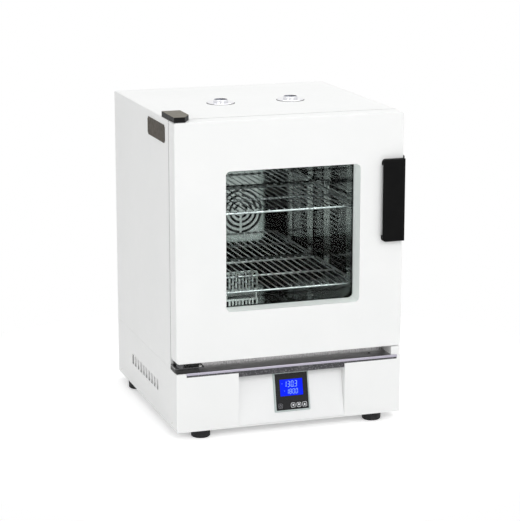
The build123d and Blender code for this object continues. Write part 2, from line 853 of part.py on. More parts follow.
# Rubber feet: tapered and rounded at the bottom
with BuildPart() as rubber_feet:
    with BuildSketch(level(foot_height)):
        with Locations(*foot_places):
            Circle(foot_radius)
    extrude(amount=-foot_height, taper=foot_taper)
    chamfer(rubber_feet.edges().group_by(Axis.Z)[0], foot_edge)
rubber_feet.part.label = "rubber_feet"
export_step(rubber_feet.part, "parts/rubber_feet.step")

# Side plate: a bare dark plate on the left side, with nibbled corners
plate_y = cabinet_front + plate_front + plate_length / 2
plate_z = cabinet_top - plate_drop - plate_height / 2
with BuildPart() as side_plate:
    with BuildSketch(facing_right(-half_width)):
        with Locations((plate_y, plate_z)):
            Rectangle(plate_length, plate_height)
            with GridLocations(plate_length, plate_height, 2, 2):
                Circle(plate_notch, mode=Mode.SUBTRACT)
    extrude(amount=-side_reach)
side_plate.part.label = "side_plate"
export_step(side_plate.part, "parts/side_plate.step")

# Air vents: a flanged collar with its pipe down to the chamber, and a turning half-moon shutter
pipe_bore = vent_collar_radius - vent_collar_wall
web_top = cabinet_top + vent_flange_height
window_radius = pipe_bore - shutter_rim
for name, x in vent_places.items():
    with BuildPart() as vent_collar:
        with BuildSketch(level(cabinet_top)):
            with Locations((x, vent_y)):
                Circle(vent_flange_radius)
        extrude(amount=vent_flange_height)
        chamfer(vent_collar.edges().group_by(Axis.Z)[-1], vent_flange_height / 2)
        with BuildSketch(level(chamber_ceiling)):
            with Locations((x, vent_y)):
                Circle(vent_collar_radius)
        extrude(amount=cabinet_top + vent_collar_height - chamber_ceiling)
        chamfer(vent_collar.edges().group_by(Axis.Z)[-1], vent_collar_wall / 3)
        with BuildSketch(level(chamber_ceiling)):
            with Locations((x, vent_y)):
                Circle(pipe_bore)
        extrude(amount=web_top - vent_web - chamber_ceiling, mode=Mode.SUBTRACT)
        with BuildSketch(level(web_top)):
            with Locations((x, vent_y)):
                Circle(pipe_bore)
                Circle(vent_post_radius, mode=Mode.SUBTRACT)
        extrude(amount=vent_collar_height, mode=Mode.SUBTRACT)
        with BuildSketch(level(web_top + shutter_thickness + 2 * body_gap)):
            with Locations((x, vent_y)):
                Circle(vent_post_radius)
        extrude(amount=vent_collar_height, mode=Mode.SUBTRACT)
        with BuildSketch(level(web_top)):
            with Locations((x, vent_y)):
                Circle(window_radius)
                Circle(vent_post_radius + shutter_bar, mode=Mode.SUBTRACT)
            with Locations((x + pipe_bore / 2 - shutter_bar, vent_y)):
                Rectangle(pipe_bore, 2 * pipe_bore, mode=Mode.SUBTRACT)
        extrude(amount=-vent_web, mode=Mode.SUBTRACT)
    vent_collar.part.label = f"vent_collar_{name}"
    export_step(vent_collar.part, f"parts/vent_collar_{name}.step")

    with BuildPart() as vent_shutter:
        with BuildSketch(level(web_top + body_gap)):
            with Locations((x, vent_y)):
                Circle(pipe_bore - body_gap)
                Circle(window_radius, mode=Mode.SUBTRACT)
                Circle(vent_post_radius + shutter_bar)
            with Locations((x, vent_y)):
                Circle(window_radius)
            with Locations((x - pipe_bore / 2 - shutter_bar, vent_y)):
                Rectangle(pipe_bore, 2 * window_radius, mode=Mode.SUBTRACT)
            with Locations((x, vent_y)):
                Circle(vent_post_radius + pin_play, mode=Mode.SUBTRACT)
        extrude(amount=shutter_thickness)
    vent_shutter.part.label = f"vent_shutter_{name}"
    export_step(vent_shutter.part, f"parts/vent_shutter_{name}.step")

# Hinge blocks: a bevelled block bolted on the top, a round-cornered one under the door
hinge_top = cabinet_top + upper_block_height
block_left = -half_width
with BuildPart() as upper_hinge_block:
    with BuildSketch(level(cabinet_top)):
        with BuildLine():
            Polyline(
                (block_left, door_front),
                (block_left + upper_block_width - upper_block_bevel, door_front),
                (block_left + upper_block_width, door_front + upper_block_bevel_depth),
                (block_left + upper_block_width, door_front + upper_block_depth),
                (block_left, door_front + upper_block_depth),
                close=True,
            )
        make_face()
    extrude(amount=upper_block_height)
    fillet(upper_hinge_block.faces().sort_by(Axis.Z)[-1].edges(), upper_relief)
    with BuildSketch(level(cabinet_top)):
        with Locations((block_left + upper_block_width / 2, (door_front + cabinet_front) / 2)):
            Rectangle(upper_block_width, cabinet_front - door_front)
    extrude(amount=upper_relief, mode=Mode.SUBTRACT)
    with BuildSketch(level(cabinet_top)):
        with Locations((hinge_x, hinge_y)):
            Circle(pin_radius + pin_play)
    extrude(amount=upper_block_height / 2, mode=Mode.SUBTRACT)
upper_hinge_block.part.label = "upper_hinge_block"
export_step(upper_hinge_block.part, "parts/upper_hinge_block.step")

lower_block_top = ledge_top + lower_block_height
hinge_plate_top = lower_block_top + hinge_plate_height
lower_block_depth = cabinet_front - door_front
with BuildPart() as lower_hinge_block:
    with BuildSketch(level(ledge_top)) as block_outline:
        with Locations((block_left + lower_block_width / 2, door_front + lower_block_depth / 2)):
            Rectangle(lower_block_width, lower_block_depth)
        front_left = block_outline.vertices().group_by(Axis.Y)[0].sort_by(Axis.X)[0]
        fillet(front_left, lower_block_corner)
    extrude(amount=lower_block_height)
    with BuildSketch(level(base_top)):
        with Locations(((block_left + ledge_left - fit_gap) / 2, door_front + lower_block_depth / 2)):
            Rectangle(ledge_left - fit_gap - block_left, lower_block_depth - 2 * lower_block_corner)
    extrude(amount=steel_sheet)
lower_hinge_block.part.label = "lower_hinge_block"
export_step(lower_hinge_block.part, "parts/lower_hinge_block.step")

with BuildPart() as lower_hinge_plate:
    with BuildSketch(level(lower_block_top)) as plate_outline:
        with Locations(
            (
                block_left + hinge_plate_width / 2,
                door_front + (lower_block_depth + hinge_plate_margin) / 2,
            )
        ):
            Rectangle(hinge_plate_width, lower_block_depth - hinge_plate_margin)
        fillet(plate_outline.vertices().group_by(Axis.Y)[0], lower_block_corner / 2)
        with Locations((hinge_x, hinge_y)):
            Circle(pin_radius + pin_play, mode=Mode.SUBTRACT)
    extrude(amount=hinge_plate_height)
lower_hinge_plate.part.label = "lower_hinge_plate"
export_step(lower_hinge_plate.part, "parts/lower_hinge_plate.step")

# Hinge pins: one hangs from the top block, one stands on the lower block with its washer
pin_seat = hinge_top - upper_block_height / 2
with BuildPart() as hinge_pins:
    with BuildSketch(level(door_bottom + door_height - pin_depth)):
        with Locations((hinge_x, hinge_y)):
            Circle(pin_radius)
    extrude(amount=pin_seat - door_bottom - door_height + pin_depth)
    with BuildSketch(level(lower_block_top)):
        with Locations((hinge_x, hinge_y)):
            Circle(pin_radius)
    extrude(amount=door_bottom + pin_depth - lower_block_top)
    with BuildSketch(level(hinge_plate_top)):
        with Locations((hinge_x, hinge_y)):
            Circle(washer_radius)
    extrude(amount=door_bottom - washer_gap - hinge_plate_top)
    chamfer(hinge_pins.edges().group_by(Axis.Z)[0], pin_radius / 8)
hinge_pins.part.label = "hinge_pins"
export_step(hinge_pins.part, "parts/hinge_pins.step")

# Strike plate: the steel plate the door's magnet holds on to
catch_x = half_width - catch_inset
catch_z = door_bottom + handle_rise + handle_height / 2
with BuildPart() as strike_plate:
    with BuildSketch(facing_front(cabinet_front)):
        with Locations((catch_x, catch_z)):
            RectangleRounded(catch_width, catch_height, catch_corner)
    extrude(amount=catch_thickness)
strike_plate.part.label = "strike_plate"
export_step(strike_plate.part, "parts/strike_plate.step")

# Fan: motor on the inner back plate, shaft through the wool, bladed wheel behind the grille
motor_face = wool_back + sheet
wheel_front = chamber_back + steel_sheet + (fan_duct - fan_depth) / 2
wheel_back = wheel_front + fan_depth
with BuildPart() as fan_motor:
    with BuildSketch(facing_front(motor_face)):
        with Locations((0, fan_z)):
            RectangleRounded(2 * motor_radius, 2 * motor_radius, motor_radius / 4)
    extrude(amount=-2 * sheet)
    with BuildSketch(facing_front(motor_face)):
        with Locations((0, fan_z)):
            Circle(motor_radius - 2 * sheet)
    extrude(amount=-motor_length)
    chamfer(fan_motor.edges().group_by(Axis.Y)[-1], fold_radius)
    with BuildSketch(facing_front(motor_face)):
        with Locations((0, fan_z)):
            Circle(shaft_radius + pin_play)
    extrude(amount=-motor_bearing, mode=Mode.SUBTRACT)
fan_motor.part.label = "fan_motor"
export_step(fan_motor.part, "parts/fan_motor.step")

with BuildPart() as fan_shaft:
    with BuildSketch(facing_front(wheel_front)):
        with Locations((0, fan_z)):
            Circle(shaft_radius)
    extrude(amount=-(motor_face + motor_bearing - body_gap - wheel_front))
    chamfer(fan_shaft.edges().group_by(Axis.Y)[0], shaft_radius / 8)
fan_shaft.part.label = "fan_shaft"
export_step(fan_shaft.part, "parts/fan_shaft.step")

blade_middle = fan_radius - fan_blade_thickness - fan_blade_length / 2
with BuildPart() as fan_wheel:
    with BuildSketch(facing_front(wheel_back)):
        with Locations((0, fan_z)):
            Circle(fan_radius)
    extrude(amount=fan_blade_thickness)
    with BuildSketch(facing_front(wheel_front)):
        with Locations((0, fan_z)):
            Circle(fan_hub_radius)
            with PolarLocations(blade_middle, fan_blades):
                Rectangle(fan_blade_length, fan_blade_thickness, rotation=fan_blade_lean)
    extrude(amount=-fan_depth)
    with BuildSketch(facing_front(wheel_front)):
        with Locations((0, fan_z)):
            Circle(fan_radius)
            Circle(fan_radius - fan_blade_length / 3, mode=Mode.SUBTRACT)
    extrude(amount=-fan_blade_thickness)
    with BuildSketch(facing_front(wheel_front)):
        with Locations((0, fan_z)):
            Circle(shaft_radius + pin_play)
    extrude(amount=-fan_depth, mode=Mode.SUBTRACT)
fan_wheel.part.label = "fan_wheel"
export_step(fan_wheel.part, "parts/fan_wheel.step")

# Heater: a flat element round the fan wheel, its two ends led out at the back
heater_y = (wheel_front + wheel_back) / 2
with BuildPart() as heater_ring:
    with BuildSketch(facing_front(heater_y - heater_rod_radius)):
        with Locations((0, fan_z)):
            Circle(heater_ring_radius + heater_rod_radius)
            Circle(heater_ring_radius - heater_rod_radius, mode=Mode.SUBTRACT)
        with Locations((0, fan_z - heater_ring_radius)):
            Rectangle(2 * (lead_x - heater_rod_radius), 4 * heater_rod_radius, mode=Mode.SUBTRACT)
    extrude(amount=-2 * heater_rod_radius)
    with BuildSketch(facing_front(heater_y)):
        with Locations((-lead_x, lead_z), (lead_x, lead_z)):
            Circle(heater_rod_radius)
    extrude(amount=-(motor_face + 3 * ferrule_thickness - heater_y))
    with BuildSketch(facing_front(motor_face)):
        with Locations((-lead_x, lead_z), (lead_x, lead_z)):
            Circle(ferrule_radius)
    extrude(amount=-ferrule_thickness)
heater_ring.part.label = "heater_ring"
export_step(heater_ring.part, "parts/heater_ring.step")

# Temperature probe: a thin rod into the chamber, held by its collar on the inner back plate
with BuildPart() as temperature_probe:
    with BuildSketch(facing_front(chamber_back - probe_length)):
        with Locations((probe_x, probe_z)):
            Circle(probe_radius)
    extrude(amount=-(motor_face + 3 * ferrule_thickness - chamber_back + probe_length))
    chamfer(temperature_probe.edges().group_by(Axis.Y)[0], probe_radius / 2)
    with BuildSketch(facing_front(motor_face)):
        with Locations((probe_x, probe_z)):
            Circle(ferrule_radius)
    extrude(amount=-ferrule_thickness)
temperature_probe.part.label = "temperature_probe"
export_step(temperature_probe.part, "parts/temperature_probe.step")

# Overheat thermostat: a round cut-out with two tabs, on the inner back plate
with BuildPart() as overheat_thermostat:
    with BuildSketch(facing_front(motor_face)):
        with Locations((-probe_x, probe_z)):
            SlotCenterToCenter(2 * thermostat_radius, thermostat_radius)
    extrude(amount=-sheet)
    with BuildSketch(facing_front(motor_face)):
        with Locations((-probe_x, probe_z)):
            Circle(thermostat_radius)
    extrude(amount=-thermostat_depth)
    with BuildSketch(facing_front(motor_face + thermostat_depth)):
        with Locations((-probe_x, probe_z)):
            with GridLocations(thermostat_radius, 0, 2, 1):
                Rectangle(sheet, thermostat_radius / 2)
    extrude(amount=-thermostat_depth)
overheat_thermostat.part.label = "overheat_thermostat"
export_step(overheat_thermostat.part, "parts/overheat_thermostat.step")

# Relay board: power board on four posts on the floor of the base
board_bottom = base_bottom + sheet + board_post_height
board_x = board_inset - half_width
with BuildPart() as relay_board:
    with BuildSketch(level(board_bottom)):
        with Locations((board_x, 0)):
            Rectangle(board_width, board_depth)
    extrude(amount=2 * sheet)
    with BuildSketch(level(base_bottom + sheet)):
        with Locations((board_x, 0)):
            with GridLocations(board_width - 4 * fold_radius, board_depth - 4 * fold_radius, 2, 2):
                Circle(fold_radius)
    extrude(amount=board_post_height)
    with BuildSketch(level(board_bottom + 2 * sheet)):
        with Locations((board_x, 0)):
            with GridLocations(board_width / 2, board_depth / 3, 2, 3):
                Rectangle(board_width / 3, board_depth / 5)
    extrude(amount=board_block_height)
relay_board.part.label = "relay_board"
export_step(relay_board.part, "parts/relay_board.step")

# Mains inlet: flanged socket with three blades, in the rear panel
with BuildPart() as mains_inlet:
    with BuildSketch(facing_front(cabinet_back)) as inlet_flange_outline:
        with Locations((inlet_x, inlet_z)):
            Rectangle(inlet_width, inlet_height)
        chamfer(inlet_flange_outline.vertices(), inlet_flange / 2)
    extrude(amount=-inlet_flange_thickness)
    with BuildSketch(facing_front(cabinet_back)):
        with Locations((inlet_x, inlet_z)):
            Rectangle(inlet_body_width, inlet_body_height)
    extrude(amount=inlet_depth)
    with BuildSketch(facing_front(cabinet_back + inlet_flange_thickness)):
        with Locations((inlet_x, inlet_z)):
            Rectangle(inlet_body_width - 2 * sheet, inlet_body_height - 2 * sheet)
    extrude(amount=inlet_depth, mode=Mode.SUBTRACT)
    with BuildSketch(facing_front(cabinet_back)):
        with Locations((inlet_x, inlet_z)):
            with GridLocations(inlet_blade_pitch, 0, 3, 1):
                Rectangle(inlet_blade_thickness, inlet_blade_height)
    extrude(amount=inlet_depth)
mains_inlet.part.label = "mains_inlet"
export_step(mains_inlet.part, "parts/mains_inlet.step")

# Door skin: the painted tray of the door, rounded at its front, cut out for the window
door_middle = door_bottom + door_height / 2
skin_back = door_back - steel_sheet
catch_clear_width = catch_width + 2 * fit_gap
catch_clear_height = catch_height + 2 * fit_gap
with BuildPart() as door_skin:
    with BuildSketch(facing_front(door_front)) as skin_outline:
        with Locations((0, door_middle)):
            Rectangle(width, door_height)
        fillet(skin_outline.vertices().group_by(Axis.Y)[-1], door_top_corner)
        fillet(skin_outline.vertices().group_by(Axis.Y)[0], door_bottom_corner)
    extrude(amount=-(skin_back - door_front))
    fillet(door_skin.edges().group_by(Axis.Y)[0], door_edge)
    with BuildSketch(facing_front(door_front + sheet)) as skin_hollow:
        with Locations((0, door_middle)):
            Rectangle(width - 2 * sheet, door_height - 2 * sheet)
        fillet(skin_hollow.vertices().group_by(Axis.Y)[-1], door_top_corner - sheet)
        fillet(skin_hollow.vertices().group_by(Axis.Y)[0], door_bottom_corner - sheet)
    extrude(amount=-door_thickness, mode=Mode.SUBTRACT)
    with BuildSketch(facing_front(door_front)):
        with Locations((window_shift, window_middle)):
            RectangleRounded(window_width, window_height, window_corner)
    extrude(amount=-sheet, mode=Mode.SUBTRACT)
    with BuildSketch(level(door_bottom)):
        with Locations((hinge_x, hinge_y)):
            Circle(pin_radius + pin_play + bush_wall)
    extrude(amount=door_height, mode=Mode.SUBTRACT)
door_skin.part.label = "door_skin"
export_step(door_skin.part, "parts/door_skin.step")

# Hinge bushes: flush in the top and the bottom of the door, turning on the pins
with BuildPart() as hinge_bushes:
    with BuildSketch(level(door_bottom)):
        with Locations((hinge_x, hinge_y)):
            Circle(pin_radius + pin_play + bush_wall)
            Circle(pin_radius + pin_play, mode=Mode.SUBTRACT)
    extrude(amount=pin_depth)
    with BuildSketch(level(door_bottom + door_height)):
        with Locations((hinge_x, hinge_y)):
            Circle(pin_radius + pin_play + bush_wall)
            Circle(pin_radius + pin_play, mode=Mode.SUBTRACT)
    extrude(amount=-pin_depth)
hinge_bushes.part.label = "hinge_bushes"
export_step(hinge_bushes.part, "parts/hinge_bushes.step")

# Inner panel: the steel back of the door, with a plug that reaches into the chamber's mouth
plug_width = chamber_width - 2 * plug_margin
plug_height = chamber_height - 2 * plug_margin
with BuildPart() as door_inner_panel:
    with BuildSketch(facing_front(skin_back)) as panel_outline:
        with Locations((0, door_middle)):
            Rectangle(width, door_height)
        fillet(panel_outline.vertices().group_by(Axis.Y)[-1], door_top_corner)
        fillet(panel_outline.vertices().group_by(Axis.Y)[0], door_bottom_corner)
    extrude(amount=-steel_sheet)
    with BuildSketch(facing_front(skin_back)):
        with Locations((0, chamber_middle)):
            RectangleRounded(plug_width, plug_height, mouth_corner)
    extrude(amount=-(plug_back - skin_back))
    with BuildSketch(facing_front(skin_back)):
        with Locations((0, chamber_middle)):
            RectangleRounded(
                plug_width - 2 * steel_sheet, plug_height - 2 * steel_sheet, mouth_corner - steel_sheet
            )
    extrude(amount=-(plug_back - steel_sheet - skin_back), mode=Mode.SUBTRACT)
    with BuildSketch(facing_front(plug_back)):
        with Locations((window_shift, window_middle)):
            RectangleRounded(window_width, window_height, inner_window_corner)
    extrude(amount=steel_sheet, mode=Mode.SUBTRACT)
    with BuildSketch(facing_front(skin_back)):
        with Locations((catch_x, catch_z)):
            Rectangle(catch_clear_width, catch_clear_height)
    extrude(amount=-steel_sheet, mode=Mode.SUBTRACT)
door_inner_panel.part.label = "door_inner_panel"
export_step(door_inner_panel.part, "parts/door_inner_panel.step")

# Glazing: two flat panes with a spacer ring, clamped between the plug and the tunnel
inner_glass_back = plug_back - steel_sheet
seal_back = inner_glass_back - glass_thickness
outer_glass_back = seal_back - seal_thickness
tunnel_back = outer_glass_back - glass_thickness
glass_width = window_width + 2 * glass_margin
glass_height = window_height + 2 * glass_margin
for name, pane_back in (("inner", inner_glass_back), ("outer", outer_glass_back)):
    with BuildPart() as pane:
        with BuildSketch(facing_front(pane_back)):
            with Locations((window_shift, window_middle)):
                RectangleRounded(glass_width, glass_height, window_corner)
        extrude(amount=glass_thickness)
    pane.part.label = f"{name}_glass"
    export_step(pane.part, f"parts/{name}_glass.step")

with BuildPart() as glazing_seal:
    with BuildSketch(facing_front(seal_back)):
        with Locations((window_shift, window_middle)):
            RectangleRounded(glass_width, glass_height, window_corner)
            RectangleRounded(
                glass_width - 2 * seal_width,
                glass_height - 2 * seal_width,
                window_corner,
                mode=Mode.SUBTRACT,
            )
    extrude(amount=seal_thickness)
glazing_seal.part.label = "glazing_seal"
export_step(glazing_seal.part, "parts/glazing_seal.step")

# Window surround: the tunnel that lines the window from the door skin to the outer pane
with BuildPart() as window_surround:
    with BuildSketch(facing_front(door_front + sheet)):
        with Locations((window_shift, window_middle)):
            RectangleRounded(
                window_width + 2 * surround_wall,
                window_height + 2 * surround_wall,
                window_corner + surround_wall,
            )
            RectangleRounded(window_width, window_height, window_corner, mode=Mode.SUBTRACT)
    extrude(amount=-(tunnel_back - door_front - sheet))
window_surround.part.label = "window_surround"
export_step(window_surround.part, "parts/window_surround.step")

# Door wool: fills the door around the tunnel
door_wool_front = door_front + sheet + fit_gap
door_wool_margin = sheet + door_edge
with BuildPart() as door_wool:
    with BuildSketch(facing_front(door_wool_front)):
        with Locations((0, door_middle)):
            Rectangle(width - 2 * door_wool_margin, door_height - 2 * door_wool_margin)
        with Locations((window_shift, window_middle)):
            RectangleRounded(
                glass_width + 2 * fit_gap,
                glass_height + 2 * fit_gap,
                window_corner + fit_gap,
                mode=Mode.SUBTRACT,
            )
        with Locations((catch_x, catch_z)):
            Rectangle(catch_clear_width, catch_clear_height, mode=Mode.SUBTRACT)
    extrude(amount=-(skin_back - fit_gap - door_wool_front))
    with BuildSketch(level(door_bottom)):
        with Locations((hinge_x, hinge_y)):
            Circle(pin_radius + pin_play + bush_wall + fit_gap)
    extrude(amount=door_height, mode=Mode.SUBTRACT)
door_wool.part.label = "door_wool"
export_step(door_wool.part, "parts/door_wool.step")

# Door gasket: silicone ring on the inner panel, a hair short of the mouth frame
gasket_inner_width = chamber_width + 2 * gasket_margin
gasket_inner_height = chamber_height + 2 * gasket_margin
with BuildPart() as door_gasket:
    with BuildSketch(facing_front(door_back)):
        with Locations((0, chamber_middle)):
            RectangleRounded(
                gasket_inner_width + 2 * gasket_width,
                gasket_inner_height + 2 * gasket_width,
                mouth_corner + gasket_width,
            )
            RectangleRounded(
                gasket_inner_width, gasket_inner_height, mouth_corner, mode=Mode.SUBTRACT
            )
    extrude(amount=-(door_gap - body_gap))
door_gasket.part.label = "door_gasket"
export_step(door_gasket.part, "parts/door_gasket.step")

# Handle: a grip on the door's right edge with a finger groove behind it and a side leg
handle_left = half_width - handle_width
handle_bottom = door_bottom + handle_rise
with BuildPart() as handle:
    with BuildSketch(facing_front(door_front)) as handle_outline:
        with Locations((half_width - handle_width / 2, handle_bottom + handle_height / 2)):
            Rectangle(handle_width, handle_height)
        fillet(handle_outline.vertices().group_by(Axis.X)[0], handle_corner)
    extrude(amount=handle_reach)
    fillet(handle.faces().sort_by(Axis.Y)[0].edges(), handle_edge)
    with BuildSketch(facing_front(door_front)):
        with Locations((handle_left + finger_width / 2, handle_bottom + handle_height / 2)):
            Rectangle(finger_width, handle_height - 2 * finger_end)
    extrude(amount=finger_depth, mode=Mode.SUBTRACT)
    with BuildSketch(facing_right(half_width)):
        with Locations(
            (
                door_front + (handle_wrap - handle_edge) / 2,
                handle_bottom + (handle_height + handle_wrap_rise) / 2,
            )
        ):
            RectangleRounded(handle_wrap + handle_edge, handle_height + handle_wrap_rise, fold_radius)
    extrude(amount=side_reach)
handle.part.label = "handle"
export_step(handle.part, "parts/handle.step")

# Latch magnet: let into the back of the door, facing the strike plate
magnet_back = cabinet_front - catch_thickness - washer_gap
with BuildPart() as latch_magnet:
    with BuildSketch(facing_front(magnet_back)):
        with Locations((catch_x, catch_z)):
            RectangleRounded(catch_width, catch_height, catch_corner)
    extrude(amount=magnet_depth)
latch_magnet.part.label = "latch_magnet"
export_step(latch_magnet.part, "parts/latch_magnet.step")
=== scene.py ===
"""Benchtop forced air convection oven: finishes, small fittings, studio and camera."""
from math import cos, pi, radians, sin

import bmesh
import bpy
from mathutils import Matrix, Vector


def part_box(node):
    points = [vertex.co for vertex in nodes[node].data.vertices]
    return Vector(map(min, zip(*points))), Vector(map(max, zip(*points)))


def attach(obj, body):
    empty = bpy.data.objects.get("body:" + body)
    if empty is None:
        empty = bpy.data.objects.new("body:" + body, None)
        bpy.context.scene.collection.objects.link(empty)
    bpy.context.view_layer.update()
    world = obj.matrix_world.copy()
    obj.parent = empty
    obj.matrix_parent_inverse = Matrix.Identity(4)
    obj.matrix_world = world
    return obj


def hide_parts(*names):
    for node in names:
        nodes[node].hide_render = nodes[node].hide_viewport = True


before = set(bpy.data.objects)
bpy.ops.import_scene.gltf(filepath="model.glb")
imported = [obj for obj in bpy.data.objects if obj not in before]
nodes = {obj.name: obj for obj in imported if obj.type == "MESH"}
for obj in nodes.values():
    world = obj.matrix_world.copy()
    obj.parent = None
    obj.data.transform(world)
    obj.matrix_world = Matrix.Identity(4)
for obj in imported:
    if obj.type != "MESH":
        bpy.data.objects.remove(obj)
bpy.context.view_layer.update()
MM = 0.001


def corners(name):
    """The low and the high corner of a piece's box, in millimetres."""
    return [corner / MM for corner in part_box(name)]


# Material making

class Finish:
    """One material and the few node steps that its maker needs."""

    def __init__(self, name, colour, roughness, metallic=0.0, specular=0.5):
        self.material = bpy.data.materials.new(name)
        self.material.use_nodes = True
        self.material.diffuse_color = (*colour, 1)
        self.tree = self.material.node_tree
        self.shader = self.tree.nodes["Principled BSDF"]
        self.shader.inputs["Base Color"].default_value = (*colour, 1)
        self.shader.inputs["Roughness"].default_value = roughness
        self.shader.inputs["Metallic"].default_value = metallic
        self.shader.inputs["Specular IOR Level"].default_value = specular
        self.colour = colour
        self.bump = None

    def node(self, kind, **values):
        made = self.tree.nodes.new(kind)
        for key, value in values.items():
            setattr(made, key, value)
        return made

    def link(self, a, b):
        self.tree.links.new(a, b)

    def place(self, scale=(1, 1, 1)):
        """Object coordinates, in metres, stretched for a pattern."""
        where = self.node("ShaderNodeTexCoord")
        mapping = self.node("ShaderNodeMapping")
        mapping.inputs["Scale"].default_value = scale
        self.link(where.outputs["Object"], mapping.inputs["Vector"])
        return mapping.outputs["Vector"]

    def noise(self, size, detail=2.0, scale=(1, 1, 1)):
        """Noise whose grains are about the given size in metres."""
        made = self.node("ShaderNodeTexNoise")
        made.inputs["Scale"].default_value = 1 / size
        made.inputs["Detail"].default_value = detail
        self.link(self.place(scale), made.inputs["Vector"])
        return made.outputs["Fac"]

    def along(self, axis):
        """The distance along one axis of the oven, in metres."""
        split = self.node("ShaderNodeSeparateXYZ")
        self.link(self.place(), split.inputs[0])
        return split.outputs[axis]

    def spread(self, value, low, high, inner=0.3, outer=0.7):
        """Maps the value's range from inner to outer onto low to high."""
        made = self.node("ShaderNodeMapRange")
        made.inputs["From Min"].default_value = inner
        made.inputs["From Max"].default_value = outer
        made.inputs["To Min"].default_value = low
        made.inputs["To Max"].default_value = high
        self.link(value, made.inputs["Value"])
        return made.outputs["Result"]

    def vary_colour(self, value, other, inner=0.3, outer=0.7):
        """Blends the colour so far into another one where the value is high."""
        made = self.node("ShaderNodeMix", data_type="RGBA")
        socket = self.shader.inputs["Base Color"]
        if socket.links:
            self.link(socket.links[0].from_socket, made.inputs[6])
        else:
            made.inputs[6].default_value = (*self.colour, 1)
        made.inputs[7].default_value = (*other, 1)
        self.link(self.spread(value, 0, 1, inner, outer), made.inputs[0])
        self.link(made.outputs[2], socket)

    def vary_roughness(self, value, low, high):
        self.link(self.spread(value, low, high), self.shader.inputs["Roughness"])

    def raise_surface(self, value, height, strength=1.0):
        """Adds a relief of the given height in metres on top of the relief so far."""
        made = self.node("ShaderNodeBump")
        made.inputs["Strength"].default_value = strength
        made.inputs["Distance"].default_value = height
        self.link(value, made.inputs["Height"])
        if self.bump is not None:
            self.link(self.bump.outputs["Normal"], made.inputs["Normal"])
        self.link(made.outputs["Normal"], self.shader.inputs["Normal"])
        self.bump = made

    def glow(self, colour, strength):
        self.shader.inputs["Emission Color"].default_value = (*colour, 1)
        self.shader.inputs["Emission Strength"].default_value = strength


def grey(tone):
    return (tone, tone, tone)


def powder_coat(name, colour, other, glow=0.0):
    """Baked powder paint: fine orange peel and a faint drift of tone; an optional glow is painted light
    that lifts a recessed part.
    """
    made = Finish(name, colour, 0.42, specular=0.35)
    made.glow(colour, glow)
    made.vary_colour(made.noise(0.12, 3), other)
    made.vary_roughness(made.noise(0.02, 3), 0.36, 0.48)
    made.raise_surface(made.noise(0.0011, 2), 0.00006, 0.35)
    made.raise_surface(made.noise(0.18, 1), 0.001, 0.06)
    return made.material


def brushed_sheet(name, colour, other, roughness, along, grain=0.2):
    """Sheet steel with its grain along one axis: 0 is X, 1 is Y, 2 is Z."""
    stretch = [1.0, 1.0, 1.0]
    stretch[along] = 0.012
    made = Finish(name, colour, roughness, 1.0)
    lines = made.noise(0.0006, 3, stretch)
    made.vary_colour(lines, other)
    made.vary_roughness(made.noise(0.0012, 3, stretch), roughness * 0.75, roughness * 1.3)
    made.raise_surface(lines, 0.00002, grain)
    return made


def polished_sheet(name, colour, other, roughness):
    """Mirror-bright sheet with faint rolling lines and a slow waviness."""
    made = Finish(name, colour, roughness, 1.0)
    made.vary_colour(made.noise(0.05, 3), other)
    made.vary_roughness(made.noise(0.004, 4, (1, 1, 0.06)), roughness * 0.6, roughness * 1.4)
    made.raise_surface(made.noise(0.11, 1), 0.001, 0.02)
    return made


def bright_plate(name, colour, roughness):
    """Nickel or chrome plate with small pits and wiping marks."""
    made = Finish(name, colour, roughness, 1.0)
    made.vary_roughness(made.noise(0.006, 4), roughness * 0.6, roughness * 1.6)
    made.raise_surface(made.noise(0.0015, 2), 0.00002, 0.12)
    return made.material


def moulded(name, colour, other, roughness, grain, height, specular=0.5):
    """Moulded plastic, rubber or casting with an eroded grain."""
    made = Finish(name, colour, roughness, specular=specular)
    made.vary_colour(made.noise(0.03, 3), other)
    made.vary_roughness(made.noise(0.008, 3), roughness * 0.85, roughness * 1.15)
    made.raise_surface(made.noise(grain, 2), height, 0.4)
    return made


def clear_glass(name, tint):
    """Coated glass that mirrors little, so that the dark chamber stays dark behind it."""
    made = Finish(name, tint, 0.0)
    made.shader.inputs["Transmission Weight"].default_value = 1.0
    made.shader.inputs["IOR"].default_value = 1.1
    made.vary_roughness(made.noise(0.08, 3), 0.0, 0.012)
    return made.material


def fibre_wool(name, colour, other):
    made = Finish(name, colour, 0.95)
    made.vary_colour(made.noise(0.004, 5, (1, 1, 4)), other)
    made.raise_surface(made.noise(0.002, 6, (1, 1, 5)), 0.001, 0.8)
    return made.material


def lit_print(name, colour, strength):
    """A mark with its own light and a slight unevenness: real backlight for the display digits, painted
    light on the printed key marks.
    """
    made = Finish(name, colour, 0.4)
    made.vary_colour(made.noise(0.002, 2), tuple(0.85 * c for c in colour))
    made.glow(colour, strength)
    return made.material


# Paints

white_paint = powder_coat("white_powder_coat", (0.86, 0.865, 0.86), (0.84, 0.848, 0.842))
panel_paint = powder_coat("control_panel_paint", (0.86, 0.865, 0.865), (0.84, 0.845, 0.845))
shutter_paint = powder_coat("shutter_dark_blue", (0.03, 0.045, 0.09), (0.02, 0.03, 0.06))
# The window surround glows: painted light that brightens the shaded reveal round the window.
surround_paint_glowing = powder_coat(
    "surround_grey_green_glowing", (0.82, 0.87, 0.845), (0.79, 0.84, 0.815), glow=0.22
)
